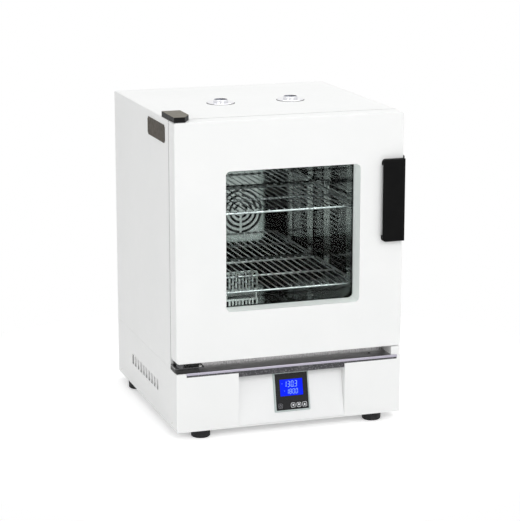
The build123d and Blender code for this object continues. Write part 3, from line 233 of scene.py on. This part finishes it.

# Sheets, plated pieces and castings of metal

# The chamber's mirror steel is real polished steel, toned dark as painted shade for the dim inside of
# the chamber.
CHAMBER_SHADED_TONE, CHAMBER_SHADED_OTHER, CHAMBER_ROUGHNESS = (0.34, 0.35, 0.345), (0.29, 0.3, 0.295), 0.04
chamber_steel = polished_sheet(
    "chamber_mirror_steel", CHAMBER_SHADED_TONE, CHAMBER_SHADED_OTHER, CHAMBER_ROUGHNESS
).material
side_steel = polished_sheet(
    "side_panel_steel", (0.15, 0.155, 0.152), (0.11, 0.115, 0.112), 0.06
).material
upright_steel = polished_sheet(
    "upright_steel", (0.5, 0.51, 0.5), (0.42, 0.43, 0.42), 0.16
).material
bright_steel = polished_sheet(
    "bright_pressed_steel", (0.95, 0.96, 0.95), (0.85, 0.86, 0.85), 0.3
).material
frame_steel = brushed_sheet("mouth_frame_steel", grey(0.5), grey(0.42), 0.28, along=2).material
plain_steel = brushed_sheet(
    "plain_zinc_steel", (0.6, 0.6, 0.59), grey(0.5), 0.32, along=2
).material
fan_metal = brushed_sheet(
    "fan_dull_aluminium", (0.12, 0.122, 0.125), (0.09, 0.09, 0.094), 0.4, along=1
).material
heater_metal = brushed_sheet(
    "heater_tinted_steel", (0.1, 0.085, 0.075), (0.07, 0.06, 0.055), 0.45, along=1
).material
shelf_chrome = bright_plate("shelf_bright_wire", (0.5, 0.51, 0.52), 0.36)
vent_chrome = bright_plate("vent_chrome", (0.8, 0.8, 0.83), 0.1)
hinge_nickel = bright_plate("hinge_dark_nickel", (0.1, 0.1, 0.105), 0.25)
screw_zinc = bright_plate("screw_bright_zinc", (0.78, 0.78, 0.76), 0.22)
brass = bright_plate("inlet_contact_brass", (0.72, 0.56, 0.28), 0.25)
hinge_black = moulded(
    "hinge_black_casting", grey(0.006), grey(0.012), 0.5,
    grain=0.0007, height=0.00008, specular=0.4,
).material

# Plastics, rubbers, glass and wool

handle_black = moulded(
    "handle_black_grain", (0.002, 0.002, 0.0022), grey(0.0035), 0.55,
    grain=0.0009, height=0.00006, specular=0.08,
).material
plate_dark = moulded(
    "side_plate_dark", (0.058, 0.046, 0.033), (0.042, 0.034, 0.025), 0.55,
    grain=0.0012, height=0.00006, specular=0.2,
).material
bezel_grey = moulded(
    "bezel_pale_grey", (0.46, 0.53, 0.52), (0.42, 0.48, 0.47), 0.45,
    grain=0.0006, height=0.00004,
).material
face_black = moulded(
    "controller_black_face", (0.004, 0.004, 0.005), (0.007, 0.007, 0.009), 0.25,
    grain=0.0008, height=0.00001, specular=0.3,
).material
key_black = moulded(
    "key_black_rubber", (0.006, 0.006, 0.007), (0.01, 0.01, 0.011), 0.5,
    grain=0.0006, height=0.00003, specular=0.3,
).material
silicone = moulded(
    "silicone_grey", (0.4, 0.42, 0.42), (0.36, 0.37, 0.37), 0.55,
    grain=0.001, height=0.00006,
).material
# Near-black finish for the vent gaskets: painted shade for the contact shadow round each vent flange.
gasket_shade_black = moulded(
    "vent_gasket_shade_black", grey(0.02), grey(0.03), 0.6, grain=0.001, height=0.00006
).material
foot_rubber = moulded(
    "foot_black_rubber", (0.006, 0.006, 0.007), grey(0.012), 0.65,
    grain=0.0008, height=0.0001, specular=0.3,
).material
board_green = moulded(
    "board_green", (0.02, 0.1, 0.05), (0.015, 0.08, 0.04), 0.3, grain=0.003, height=0.0001
).material
pane_glass = clear_glass("pane_glass", (0.97, 1.0, 0.99))
wool = fibre_wool("mineral_wool", (0.6, 0.56, 0.44), (0.5, 0.46, 0.36))

# Lit and printed marks

digit_light = lit_print("display_digits", (0.2, 0.36, 1.0), 0.55)
# The printed key marks glow, though no lamp is behind them: painted light that brightens the print.
key_print_glowing = lit_print("key_white_print_glowing", (0.8, 0.82, 0.84), 0.35)
power_print_glowing = lit_print("key_grey_print_glowing", (0.2, 0.2, 0.22), 0.05)


def ledge_finish():
    """Dark brushed steel whose rolled hem, in front of the ledge, is tinted a lighter lilac grey: a
    painted highlight where the rolled edge catches the light.
    """
    made = brushed_sheet(
        "ledge_brushed_steel", (0.42, 0.41, 0.415), (0.34, 0.33, 0.335), 0.34, along=0, grain=0.1
    )
    hem_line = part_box("door_skin")[0].y
    # Painted highlight: the steel in front of the door's face line takes the lighter lilac tone.
    made.vary_colour(made.along("Y"), (0.45, 0.43, 0.5), hem_line + 0.2 * MM, hem_line - 0.8 * MM)
    return made.material


def liner_finish():
    """Mirror steel in the chamber, painted nearly black in the ducts behind its side panels and baffle
    as painted shade.
    """
    made = polished_sheet("liner_mirror_steel", CHAMBER_SHADED_TONE, CHAMBER_SHADED_OTHER, CHAMBER_ROUGHNESS)
    duct_shade_tone, begins, full = grey(0.012), 1 * MM, 3 * MM
    side = made.node("ShaderNodeMath", operation="ABSOLUTE")
    made.link(made.along("X"), side.inputs[0])
    panel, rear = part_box("side_air_panel_right")[0].x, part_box("back_baffle")[0].y
    # Painted shade: the liner turns nearly black behind the side panels and behind the baffle.
    made.vary_colour(side.outputs[0], duct_shade_tone, panel + begins, panel + full)
    made.vary_colour(made.along("Y"), duct_shade_tone, rear + begins, rear + full)
    return made.material


def hinge_casting():
    """Black casting whose flat top is painted a warm dark grey: a painted sheen for the light on the top
    face.
    """
    made = moulded(
        "upper_hinge_casting", grey(0.003), grey(0.006), 0.5,
        grain=0.0007, height=0.00005, specular=0.15,
    )
    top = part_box("upper_hinge_block")[1].z
    # Painted light: the top face is made lighter than the black sides.
    made.vary_colour(made.along("Z"), (0.15, 0.138, 0.11), top - 0.6 * MM, top - 0.2 * MM)
    return made.material


def painted_shade_trim():
    """Near-black strip under the ledge's lip with pale specks: painted shade where the recess below the
    lip lies in shadow.
    """
    made = moulded(
        "ledge_trim_painted_shade", (0.03, 0.029, 0.034), (0.05, 0.05, 0.055), 0.5,
        grain=0.0012, height=0.0001,
    )
    made.vary_colour(made.noise(0.0035, 3), (0.2, 0.2, 0.21), 0.52, 0.72)
    return made.material


def backlit_display():
    made = Finish("display_blue_backlight", (0.0, 0.006, 0.1), 0.2, specular=0.1)
    made.vary_colour(made.noise(0.03, 1), (0.0, 0.008, 0.14))
    made.glow((0.0, 0.01, 1.0), 0.95)
    return made.material


finishes = {
    white_paint: "outer_shell rear_panel base_housing slot_guards base_fascia end_block door_skin",
    panel_paint: "control_panel",
    liner_finish(): "chamber_liner",
    chamber_steel: "back_baffle door_inner_panel",
    side_steel: "side_air_panel_left side_air_panel_right",
    upright_steel: "shelf_uprights",
    bright_steel: "return_grille shelf_clips",
    frame_steel: "mouth_frame",
    ledge_finish(): "drip_ledge",
    plain_steel: "inner_back_plate deck_plate strike_plate hinge_bushes fan_shaft",
    shelf_chrome: "shelf_upper shelf_lower",
    vent_chrome: "vent_collar_left vent_collar_right",
    hinge_nickel: "lower_hinge_plate hinge_pins",
    fan_metal: "fan_wheel fan_motor overheat_thermostat",
    heater_metal: "heater_ring temperature_probe",
    shutter_paint: "vent_shutter_left vent_shutter_right",
    handle_black: "handle",
    hinge_casting(): "upper_hinge_block",
    hinge_black: "lower_hinge_block latch_magnet mains_inlet controller_case",
    painted_shade_trim(): "ledge_trim",
    plate_dark: "side_plate",
    bezel_grey: "controller_bezel",
    face_black: "controller_face",
    key_black: "key_power key_shift key_down key_up",
    surround_paint_glowing: "window_surround",
    silicone: "door_gasket glazing_seal",
    foot_rubber: "rubber_feet",
    board_green: "relay_board",
    pane_glass: "outer_glass inner_glass",
    wool: "chamber_wool door_wool",
    backlit_display(): "display",
}
for material, names in finishes.items():
    for name in names.split():
        for place in nodes[name].material_slots:
            place.material = material


# Mesh making

def mesh_object(name, points, faces, material, smooth=False):
    """A plain mesh given in millimetres."""
    mesh = bpy.data.meshes.new(name)
    mesh.from_pydata([tuple(MM * c for c in point) for point in points], [], faces)
    mesh.validate()
    made = bpy.data.objects.new(name, mesh)
    bpy.context.collection.objects.link(made)
    mesh.materials.append(material)
    bm = bmesh.new()
    bm.from_mesh(mesh)
    bmesh.ops.recalc_face_normals(bm, faces=bm.faces)
    bm.to_mesh(mesh)
    bm.free()
    for face in mesh.polygons:
        face.use_smooth = smooth
    return made


def fit(piece, body):
    """Lets a piece ride a body."""
    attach(piece, body)
    return piece


def turned_form(name, profile, material, steps=28):
    """A form turned about Z from (radius, height) pairs, closed at both ends."""
    points, faces = [], []
    for radius, height in profile:
        for step in range(steps):
            angle = 2 * pi * step / steps
            points.append((radius * cos(angle), radius * sin(angle), height))
    for ring in range(len(profile) - 1):
        for step in range(steps):
            after = (step + 1) % steps
            here, above = ring * steps, (ring + 1) * steps
            faces.append((here + step, here + after, above + after, above + step))
    faces.append(tuple(reversed(range(steps))))
    faces.append(tuple(range(len(points) - steps, len(points))))
    return mesh_object(name, points, faces, material, smooth=True)


def prisms(name, outlines, lift, material, at=lambda x, y, z: (x, y, z)):
    """Thin raised shapes: each flat outline is carried from height 0 to the lift."""
    points, faces = [], []
    for outline in outlines:
        start, count = len(points), len(outline)
        for height in (0, lift):
            points += [at(x, y, height) for x, y in outline]
        faces.append(tuple(start + i for i in reversed(range(count))))
        faces.append(tuple(start + count + i for i in range(count)))
        for i in range(count):
            j = (i + 1) % count
            faces.append((start + i, start + j, start + count + j, start + count + i))
    return mesh_object(name, points, faces, material)


def dot(x, y, radius, sides=10):
    """Points round a circle."""
    turns = [2 * pi * i / sides for i in range(sides)]
    return [(x + radius * cos(turn), y + radius * sin(turn)) for turn in turns]


def rounded_path(width, height, corner, steps=8):
    """Points round a rectangle with round corners, centred on the origin."""
    path = []
    for quarter in range(4):
        sx, sy = ((1, 1), (-1, 1), (-1, -1), (1, -1))[quarter]
        cx, cy = sx * (width / 2 - corner), sy * (height / 2 - corner)
        for step in range(steps + 1):
            angle = (quarter + step / steps) * pi / 2
            path.append((cx + corner * cos(angle), cy + corner * sin(angle)))
    return path


def ring_of_section(name, paths, lifts, material, at, smooth=True):
    """A closed band whose section runs through nested closed paths, each at its own lift."""
    count = len(paths[0])
    points = [at(x, y, z) for path, z in zip(paths, lifts) for x, y in path]
    faces = []
    for band in range(len(paths)):
        here, there = band * count, (band + 1) % len(paths) * count
        for i in range(count):
            j = (i + 1) % count
            faces.append((here + i, here + j, there + j, there + i))
    return mesh_object(name, points, faces, material, smooth)


def flat_ring(name, outer, inner, lift, material, at):
    """A thin raised frame between two closed paths."""
    paths, lifts = [outer, outer, inner, inner], [0, lift, lift, 0]
    return ring_of_section(name, paths, lifts, material, at, smooth=False)


# Repeated small pieces

def repeat_group():
    """Node group that sets one piece on every point, turned by the point's own angles."""
    group = bpy.data.node_groups.new("set_on_points", "GeometryNodeTree")
    face = group.interface
    face.new_socket(name="Geometry", in_out="INPUT", socket_type="NodeSocketGeometry")
    face.new_socket(name="Piece", in_out="INPUT", socket_type="NodeSocketObject")
    face.new_socket(name="Finish", in_out="INPUT", socket_type="NodeSocketMaterial")
    face.new_socket(name="Geometry", in_out="OUTPUT", socket_type="NodeSocketGeometry")
    start = group.nodes.new("NodeGroupInput")
    end = group.nodes.new("NodeGroupOutput")
    source = group.nodes.new("GeometryNodeObjectInfo")
    turn = group.nodes.new("GeometryNodeInputNamedAttribute")
    turn.data_type = "FLOAT_VECTOR"
    turn.inputs["Name"].default_value = "turn"
    put = group.nodes.new("GeometryNodeInstanceOnPoints")
    real = group.nodes.new("GeometryNodeRealizeInstances")
    paint = group.nodes.new("GeometryNodeSetMaterial")
    links = group.links
    links.new(start.outputs["Geometry"], put.inputs["Points"])
    links.new(start.outputs["Piece"], source.inputs["Object"])
    links.new(source.outputs["Geometry"], put.inputs["Instance"])
    links.new(turn.outputs["Attribute"], put.inputs["Rotation"])
    links.new(put.outputs["Instances"], real.inputs["Geometry"])
    links.new(real.outputs["Geometry"], paint.inputs["Geometry"])
    links.new(start.outputs["Finish"], paint.inputs["Material"])
    links.new(paint.outputs["Geometry"], end.inputs["Geometry"])
    return group


SET_ON_POINTS = repeat_group()
TURNS = {
    "up": (0, 0, 0),
    "left": (0, -pi / 2, 0),
    "right": (0, pi / 2, 0),
    "front": (pi / 2, 0, 0),
    "back": (-pi / 2, 0, 0),
}


def finished_copy(name, shaped):
    """The object with its modifiers worked in, as one plain mesh; the original goes."""
    bpy.context.view_layer.update()
    shown = shaped.evaluated_get(bpy.context.evaluated_depsgraph_get())
    made = bpy.data.objects.new(name, bpy.data.meshes.new_from_object(shown))
    bpy.context.collection.objects.link(made)
    bpy.data.objects.remove(shaped)
    return made


def repeat(name, piece, spots, material, body):
    """Sets the piece on every (point, way it faces)."""
    mesh = bpy.data.meshes.new(name + "_points")
    mesh.from_pydata([tuple(MM * c for c in point) for point, way in spots], [], [])
    turn = mesh.attributes.new("turn", "FLOAT_VECTOR", "POINT")
    for place, (point, way) in zip(turn.data, spots):
        place.vector = TURNS[way]
    carrier = bpy.data.objects.new(name + "_points", mesh)
    bpy.context.collection.objects.link(carrier)
    steps = carrier.modifiers.new("set", "NODES")
    steps.node_group = SET_ON_POINTS
    values = {"Piece": piece, "Finish": material}
    for item in SET_ON_POINTS.interface.items_tree:
        if item.in_out == "INPUT" and item.name in values:
            steps[item.identifier] = values[item.name]
    return fit(finished_copy(name, carrier), body)


def cross_screw(name, radius, height):
    """A pan-head screw with a cross recess, its seat at height 0."""
    profile = [
        (radius, -0.05), (radius, 0.25 * height), (0.86 * radius, 0.7 * height),
        (0.5 * radius, 0.96 * height), (0.1, height),
    ]
    head = turned_form(name, profile, screw_zinc)
    arm, slit, floor = 0.56 * radius, 0.13 * radius, 0.35 * height
    outline = [
        (-arm, -slit), (-slit, -slit), (-slit, -arm), (slit, -arm), (slit, -slit), (arm, -slit),
        (arm, slit), (slit, slit), (slit, arm), (-slit, arm), (-slit, slit), (-arm, slit),
    ]
    cross = prisms(
        name + "_recess", [outline], height, screw_zinc, lambda x, y, z: (x, y, z + floor)
    )
    cut = head.modifiers.new("recess", "BOOLEAN")
    cut.operation = "DIFFERENCE"
    cut.solver = "EXACT"
    cut.object = cross
    made = finished_copy(name + "_cut", head)
    bpy.data.objects.remove(cross)
    return made


# Screws on the cabinet, its back and the inside of the door

HINGE_SCREW_X, HINGE_SCREW_Y = -187.5, (-219, -196)
BACK_COLUMN_X, BACK_ROW_Z, BACK_TOP_X = 226, (42, 190, 340, 490, 622), 110
BASE_SCREW_Y, BASE_SCREW_Z = (-194, 214), 27
BAFFLE_SCREW_X, BAFFLE_SCREW_Z = 166, (220, 562)
FRAME_SCREW_X, FRAME_SCREW_Z = 224, (176, 615)
DOOR_COLUMN_X, DOOR_COLUMN_Z = 229, (182, 290, 400, 520, 618)
DOOR_ROW_X, DOOR_ROW_Z = (-140, 0, 140), (166, 634)
INLET_SCREW_REACH = 20
LEDGE_SCREW_X, LEDGE_SCREW_Y = 181, -204

cabinet_high = corners("outer_shell")[1]
base_low, base_high = corners("base_housing")
baffle_front = corners("back_baffle")[0].y
frame_front = corners("mouth_frame")[0].y
door_back = corners("door_gasket")[0].y
hinge_top = corners("lower_hinge_plate")[1].z
ledge_top = corners("drip_ledge")[1].z
inlet_low, inlet_high = corners("mains_inlet")
inlet_x, inlet_z = (inlet_low.x + inlet_high.x) / 2, (inlet_low.z + inlet_high.z) / 2

big_screw = cross_screw("screw_pan_large", 4.2, 2.0)
small_screw = cross_screw("screw_pan_small", 2.8, 1.3)
repeat(
    "cabinet_screws", big_screw,
    [((HINGE_SCREW_X, y, hinge_top), "up") for y in HINGE_SCREW_Y]
    + [
        ((x, cabinet_high.y, z), "back")
        for x in (-BACK_COLUMN_X, BACK_COLUMN_X) for z in BACK_ROW_Z
    ]
    + [((x, cabinet_high.y, BACK_ROW_Z[-1]), "back") for x in (-BACK_TOP_X, BACK_TOP_X)],
    screw_zinc, "cabinet",
)
repeat(
    "cabinet_small_screws", small_screw,
    [((base_low.x, y, BASE_SCREW_Z), "left") for y in BASE_SCREW_Y]
    + [((base_high.x, y, BASE_SCREW_Z), "right") for y in BASE_SCREW_Y]
    + [
        ((x, baffle_front, z), "front")
        for x in (-BAFFLE_SCREW_X, BAFFLE_SCREW_X) for z in BAFFLE_SCREW_Z
    ]
    + [
        ((x, frame_front, z), "front")
        for x in (-FRAME_SCREW_X, FRAME_SCREW_X) for z in FRAME_SCREW_Z
    ]
    + [
        ((inlet_x + x, inlet_high.y, inlet_z), "back")
        for x in (-INLET_SCREW_REACH, INLET_SCREW_REACH)
    ],
    screw_zinc, "cabinet",
)
repeat(
    "door_inner_screws", small_screw,
    [
        ((x, door_back, z), "back")
        for x in (-DOOR_COLUMN_X, DOOR_COLUMN_X) for z in DOOR_COLUMN_Z
    ]
    + [((x, door_back, z), "back") for x in DOOR_ROW_X for z in DOOR_ROW_Z],
    screw_zinc, "door",
)
repeat(
    "ledge_screws", small_screw, [((LEDGE_SCREW_X, LEDGE_SCREW_Y, ledge_top), "up")],
    hinge_black, "cabinet",
)

# Weld dots where the shelf wires cross the front rail and the middle rail

WIRES, RAIL_INSET, WELD_DROP = 20, 2.4, 2.6
weld_profile = [(0.4, 0.0), (1.9, 0.15), (2.0, 0.6), (1.5, 1.2), (0.4, 1.5)]
weld = turned_form("weld_dot", weld_profile, shelf_chrome, 12)
for name in ("shelf_lower", "shelf_upper"):
    low, high = corners(name)
    pitch = (high.x - low.x - 2 * RAIL_INSET) / (WIRES + 1)
    spots = [
        ((low.x + RAIL_INSET + pitch * wire, y, high.z - WELD_DROP), "up")
        for wire in range(1, WIRES + 1)
        for y in (low.y + RAIL_INSET, (low.y + high.y) / 2)
    ]
    repeat(name + "_welds", weld, spots, shelf_chrome, name)

for pattern in (big_screw, small_screw, weld):
    bpy.data.objects.remove(pattern)


# Display and key marks, drawn on the tilted panel

TILT = radians(12)
PANEL_FOOT_Y, PANEL_FOOT_Z = -230, 19


def on_panel(x, up, out):
    """Point on the tilted control panel: across, up along it and out from it."""
    y = PANEL_FOOT_Y + up * sin(TILT) - out * cos(TILT)
    return (x, y, PANEL_FOOT_Z + up * cos(TILT) + out * sin(TILT))


SEGMENTS = {
    "0": "abcdef",
    "1": "bc",
    "3": "abcdg",
    "8": "abcdefg",
}


def digit_outlines(mark, left, bottom, width, height, bar):
    """Six-sided bars of a seven-segment figure, leaning a little to the right."""
    gap, lean, half, b = 0.25, 0.09, height / 2, bar / 2
    flat = {"a": height - b, "g": half, "d": b}
    upright = {"f": (0, half), "b": (1, half), "e": (0, 0), "c": (1, 0)}
    outlines = []
    for segment in SEGMENTS[mark]:
        if segment in flat:
            y, x0, x1 = flat[segment], b + gap, width - b - gap
            shape = [
                (x0, y), (x0 + b, y - b), (x1 - b, y - b),
                (x1, y), (x1 - b, y + b), (x0 + b, y + b),
            ]
        else:
            side, low = upright[segment]
            x = b + side * (width - bar)
            y0, y1 = low + gap + (0 if low else b), low + half - gap - (b if low else 0)
            shape = [
                (x, y0), (x + b, y0 + b), (x + b, y1 - b),
                (x, y1), (x - b, y1 - b), (x - b, y0 + b),
            ]
        outlines.append([(left + x + lean * y, bottom + y) for x, y in shape])
    return outlines


def figure_row(text, left, bottom, width, height, pitch, bar):
    """Outlines of a row of figures; a point sits in the gap after its figure."""
    outlines = []
    for mark in text:
        if mark == ".":
            outlines.append(dot(left - 0.55 * (pitch - width), bottom + bar / 2, 0.6 * bar))
        else:
            outlines += digit_outlines(mark, left, bottom, width, height, bar)
            left += pitch
    return outlines


def middle_x(name):
    low, high = corners(name)
    return (low.x + high.x) / 2


DISPLAY_UP, DISPLAY_OUT, DIGIT_LIFT, MARK_RADIUS = 68, 1.8, 0.06, 0.6
display_x = middle_x("display")
digits = figure_row(
    "130.3", display_x - 16.5, DISPLAY_UP + 0.9, width=5.6, height=12.6, pitch=7.6, bar=1.15
)
digits += figure_row(
    "180.0", display_x - 12.0, DISPLAY_UP - 13.4, width=4.9, height=10.6, pitch=6.7, bar=1.0
)
digits += [
    dot(display_x - 20, DISPLAY_UP + 8.5, MARK_RADIUS),
    dot(display_x - 15.5, DISPLAY_UP - 6.5, MARK_RADIUS),
]
fit(
    prisms(
        "display_digits", digits, DIGIT_LIFT, digit_light,
        lambda x, up, out: on_panel(x, up, DISPLAY_OUT + out),
    ),
    "cabinet",
)

KEY_UP, KEY_OUT, PRINT_LIFT, STEM_LIFT = 31.5, 2.9, 0.05, 0.07
KEY_FRAME, KEY_FRAME_CORNER, KEY_FRAME_BAR = 9.4, 2.6, 0.6
POWER_RING_UP, POWER_RING_OUTER, POWER_RING_INNER = -0.3, 2.5, 1.8
POWER_STEM = [(-0.35, 0.2), (0.35, 0.2), (0.35, 3.0), (-0.35, 3.0)]
ARROWS = {
    "shift": [(1.9, -1.9), (1.9, 1.9), (-2.1, 0)],
    "down": [(-2.2, 1.6), (0, -2.2), (2.2, 1.6)],
    "up": [(-2.2, -1.6), (2.2, -1.6), (0, 2.2)],
}
for key in ("key_power", "key_shift", "key_down", "key_up"):
    def on_key(across, up, out, x=middle_x(key)):
        return on_panel(x + across, KEY_UP + up, KEY_OUT + out)

    finish = power_print_glowing if key == "key_power" else key_print_glowing
    inner_frame = KEY_FRAME - 2 * KEY_FRAME_BAR
    outer = rounded_path(KEY_FRAME, KEY_FRAME, KEY_FRAME_CORNER, 5)
    inner = rounded_path(inner_frame, inner_frame, KEY_FRAME_CORNER - KEY_FRAME_BAR, 5)
    fit(flat_ring(key + "_outline", outer, inner, PRINT_LIFT, finish, on_key), key)
    if key == "key_power":
        symbol = flat_ring(
            "key_power_symbol",
            dot(0, POWER_RING_UP, POWER_RING_OUTER, 24), dot(0, POWER_RING_UP, POWER_RING_INNER, 24),
            PRINT_LIFT, finish, on_key,
        )
        stem = prisms("key_power_stem", [POWER_STEM], STEM_LIFT, finish, on_key)
        fit(stem, key)
    else:
        symbol = prisms(
            key + "_symbol", [ARROWS[key.removeprefix("key_")]], PRINT_LIFT, finish, on_key
        )
    fit(symbol, key)


# Door gasket: a hollow bulb of silicone in the place of the flat ring

BULB_CORNER = 24
BULB_SECTION = [  # inset from the outer edge, and share of the gasket's depth
    (0, 0), (0, 0.35), (1.6, 0.4), (2.6, 0.8), (4.2, 0.97), (6.0, 1.0),
    (7.8, 0.97), (9.4, 0.8), (10.4, 0.4), (12, 0.35), (12, 0),
]


def door_bulb():
    low, high = corners("door_gasket")
    size = high - low
    middle_z = (low.z + high.z) / 2
    paths = [
        rounded_path(size.x - 2 * inset, size.z - 2 * inset, BULB_CORNER - inset, 10)
        for inset, share in BULB_SECTION
    ]
    lifts = [share * size.y for inset, share in BULB_SECTION]
    bulb = ring_of_section(
        "door_gasket_bulb", paths, lifts, silicone,
        lambda x, z, out: (x, low.y + out, middle_z + z),
    )
    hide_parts("door_gasket")
    fit(bulb, "door")


door_bulb()

# Thin near-black gaskets under the vent flanges: painted shade, a dark ring for the contact shadow round
# each flange

WASHER_RADII, WASHER_LIFTS = (28.2, 29.4, 29.4, 28.2), (0.0, 0.0, 0.5, 0.7)
for side in ("left", "right"):
    low, high = corners(f"vent_collar_{side}")
    vent_x, vent_y = (low.x + high.x) / 2, (low.y + high.y) / 2
    washer = ring_of_section(
        f"vent_gasket_{side}", [dot(0, 0, radius, 64) for radius in WASHER_RADII],
        WASHER_LIFTS, gasket_shade_black,
        lambda x, y, z, vx=vent_x, vy=vent_y: (vx + x, vy + y, cabinet_high.z + z),
    )
    fit(washer, "cabinet")

# Brass contacts over the inlet's three blades

BLADE_X, BLADE_HALF_WIDTH, BLADE_HALF_HEIGHT, BLADE_LENGTH, BLADE_ROOT = (-7, 0, 7), 1.25, 2.75, 14, 13.8
CORNER_SIGNS = ((-1, -1), (1, -1), (1, 1), (-1, 1))
contacts = [
    [
        (inlet_x + x + BLADE_HALF_WIDTH * a, inlet_z + BLADE_HALF_HEIGHT * b)
        for a, b in CORNER_SIGNS
    ]
    for x in BLADE_X
]
fit(
    prisms(
        "inlet_contacts", contacts, BLADE_LENGTH, brass,
        lambda x, z, out: (x, cabinet_high.y - BLADE_ROOT + out, z),
    ),
    "cabinet",
)


# Studio: a white floor and surround, with soft lamps

def seen_directly(tree):
    """1 for rays that the eye follows: straight, mirrored or through glass."""
    path = tree.nodes.new("ShaderNodeLightPath")
    total = path.outputs["Is Camera Ray"]
    for name in ("Is Glossy Ray", "Is Transmission Ray"):
        both = tree.nodes.new("ShaderNodeMath")
        both.operation = "MAXIMUM"
        tree.links.new(total, both.inputs[0])
        tree.links.new(path.outputs[name], both.inputs[1])
        total = both.outputs[0]
    return total


FLOOR_REACH, FLOOR_DEPTH, FLOOR_LIFT = 6000, 10, 0.35
SHADOW_ENDS_FROM, SHADOW_ENDS_AT = 0.42, 0.8


def floor_sheet():
    """White floor that keeps a soft shadow close to the feet and is plain white farther off."""
    square = [(FLOOR_REACH * a, FLOOR_REACH * b) for a, b in CORNER_SIGNS]
    finish = Finish("studio_floor_white", grey(0.9), 0.8)
    finish.vary_roughness(finish.noise(0.3, 2), 0.75, 0.85)
    floor = prisms("studio_floor", [square], -FLOOR_DEPTH, finish.material)
    distance = finish.node("ShaderNodeVectorMath", operation="LENGTH")
    finish.link(finish.place(), distance.inputs[0])
    far = finish.spread(distance.outputs["Value"], 0, 1, SHADOW_ENDS_FROM, SHADOW_ENDS_AT)
    white = finish.node("ShaderNodeEmission")
    lift = finish.node("ShaderNodeEmission")
    lift.inputs["Strength"].default_value = FLOOR_LIFT
    lifted = finish.node("ShaderNodeAddShader")
    finish.link(finish.shader.outputs[0], lifted.inputs[0])
    finish.link(lift.outputs[0], lifted.inputs[1])
    by_distance = finish.node("ShaderNodeMixShader")
    finish.link(far, by_distance.inputs["Fac"])
    finish.link(lifted.outputs[0], by_distance.inputs[1])
    finish.link(white.outputs[0], by_distance.inputs[2])
    by_ray = finish.node("ShaderNodeMixShader")
    finish.link(seen_directly(finish.tree), by_ray.inputs["Fac"])
    finish.link(finish.shader.outputs[0], by_ray.inputs[1])
    finish.link(by_distance.outputs[0], by_ray.inputs[2])
    finish.link(by_ray.outputs[0], finish.tree.nodes["Material Output"].inputs["Surface"])


def soft_lamp(name, place, target, width, height, power):
    """A rectangular lamp in metres and watts, aimed at the target."""
    data = bpy.data.lights.new(name, "AREA")
    data.shape = "RECTANGLE"
    data.size = width
    data.size_y = height
    data.energy = power
    lamp = bpy.data.objects.new(name, data)
    lamp.location = place
    aim = Vector(target) - Vector(place)
    lamp.rotation_euler = aim.to_track_quat("-Z", "Y").to_euler()
    bpy.context.collection.objects.link(lamp)


def studio_world():
    """White surround that lights the oven less than it shows itself."""
    world = bpy.data.worlds.new("studio_world")
    bpy.context.scene.world = world
    world.use_nodes = True
    sky = world.node_tree
    background = sky.nodes["Background"]
    background.inputs["Color"].default_value = (1, 1, 1, 1)
    level = sky.nodes.new("ShaderNodeMapRange")
    level.inputs["To Min"].default_value = 0.62
    level.inputs["To Max"].default_value = 1.0
    sky.links.new(seen_directly(sky), level.inputs["Value"])
    sky.links.new(level.outputs["Result"], background.inputs["Strength"])


floor_sheet()
soft_lamp("front_soft_lamp", (0.6, -2.8, 1.9), (0, 0, 0.35), width=1.8, height=1.6, power=30)
soft_lamp("top_soft_lamp", (0.2, 0.3, 2.4), (0, 0, 0.3), width=2.4, height=2.0, power=16)
soft_lamp("left_soft_lamp", (-2.4, -1.9, 1.2), (0, 0, 0.35), width=1.4, height=1.6, power=12)
studio_world()


# Camera: from the front left and a little above

CAMERA_PLACE, LENS, SENSOR = (-1.248, -3.807, 1.236), 134.2, 36
CAMERA_SIDE, CAMERA_DOWN = radians(18.30), radians(13.10)


def photo_camera():
    data = bpy.data.cameras.new("photo_camera")
    data.sensor_width = SENSOR
    data.lens = LENS
    camera = bpy.data.objects.new("photo_camera", data)
    camera.location = CAMERA_PLACE
    camera.rotation_euler = (pi / 2 - CAMERA_DOWN, 0, -CAMERA_SIDE)
    bpy.context.collection.objects.link(camera)
    bpy.context.scene.camera = camera


photo_camera()
bpy.context.scene.view_settings.view_transform = "Standard"
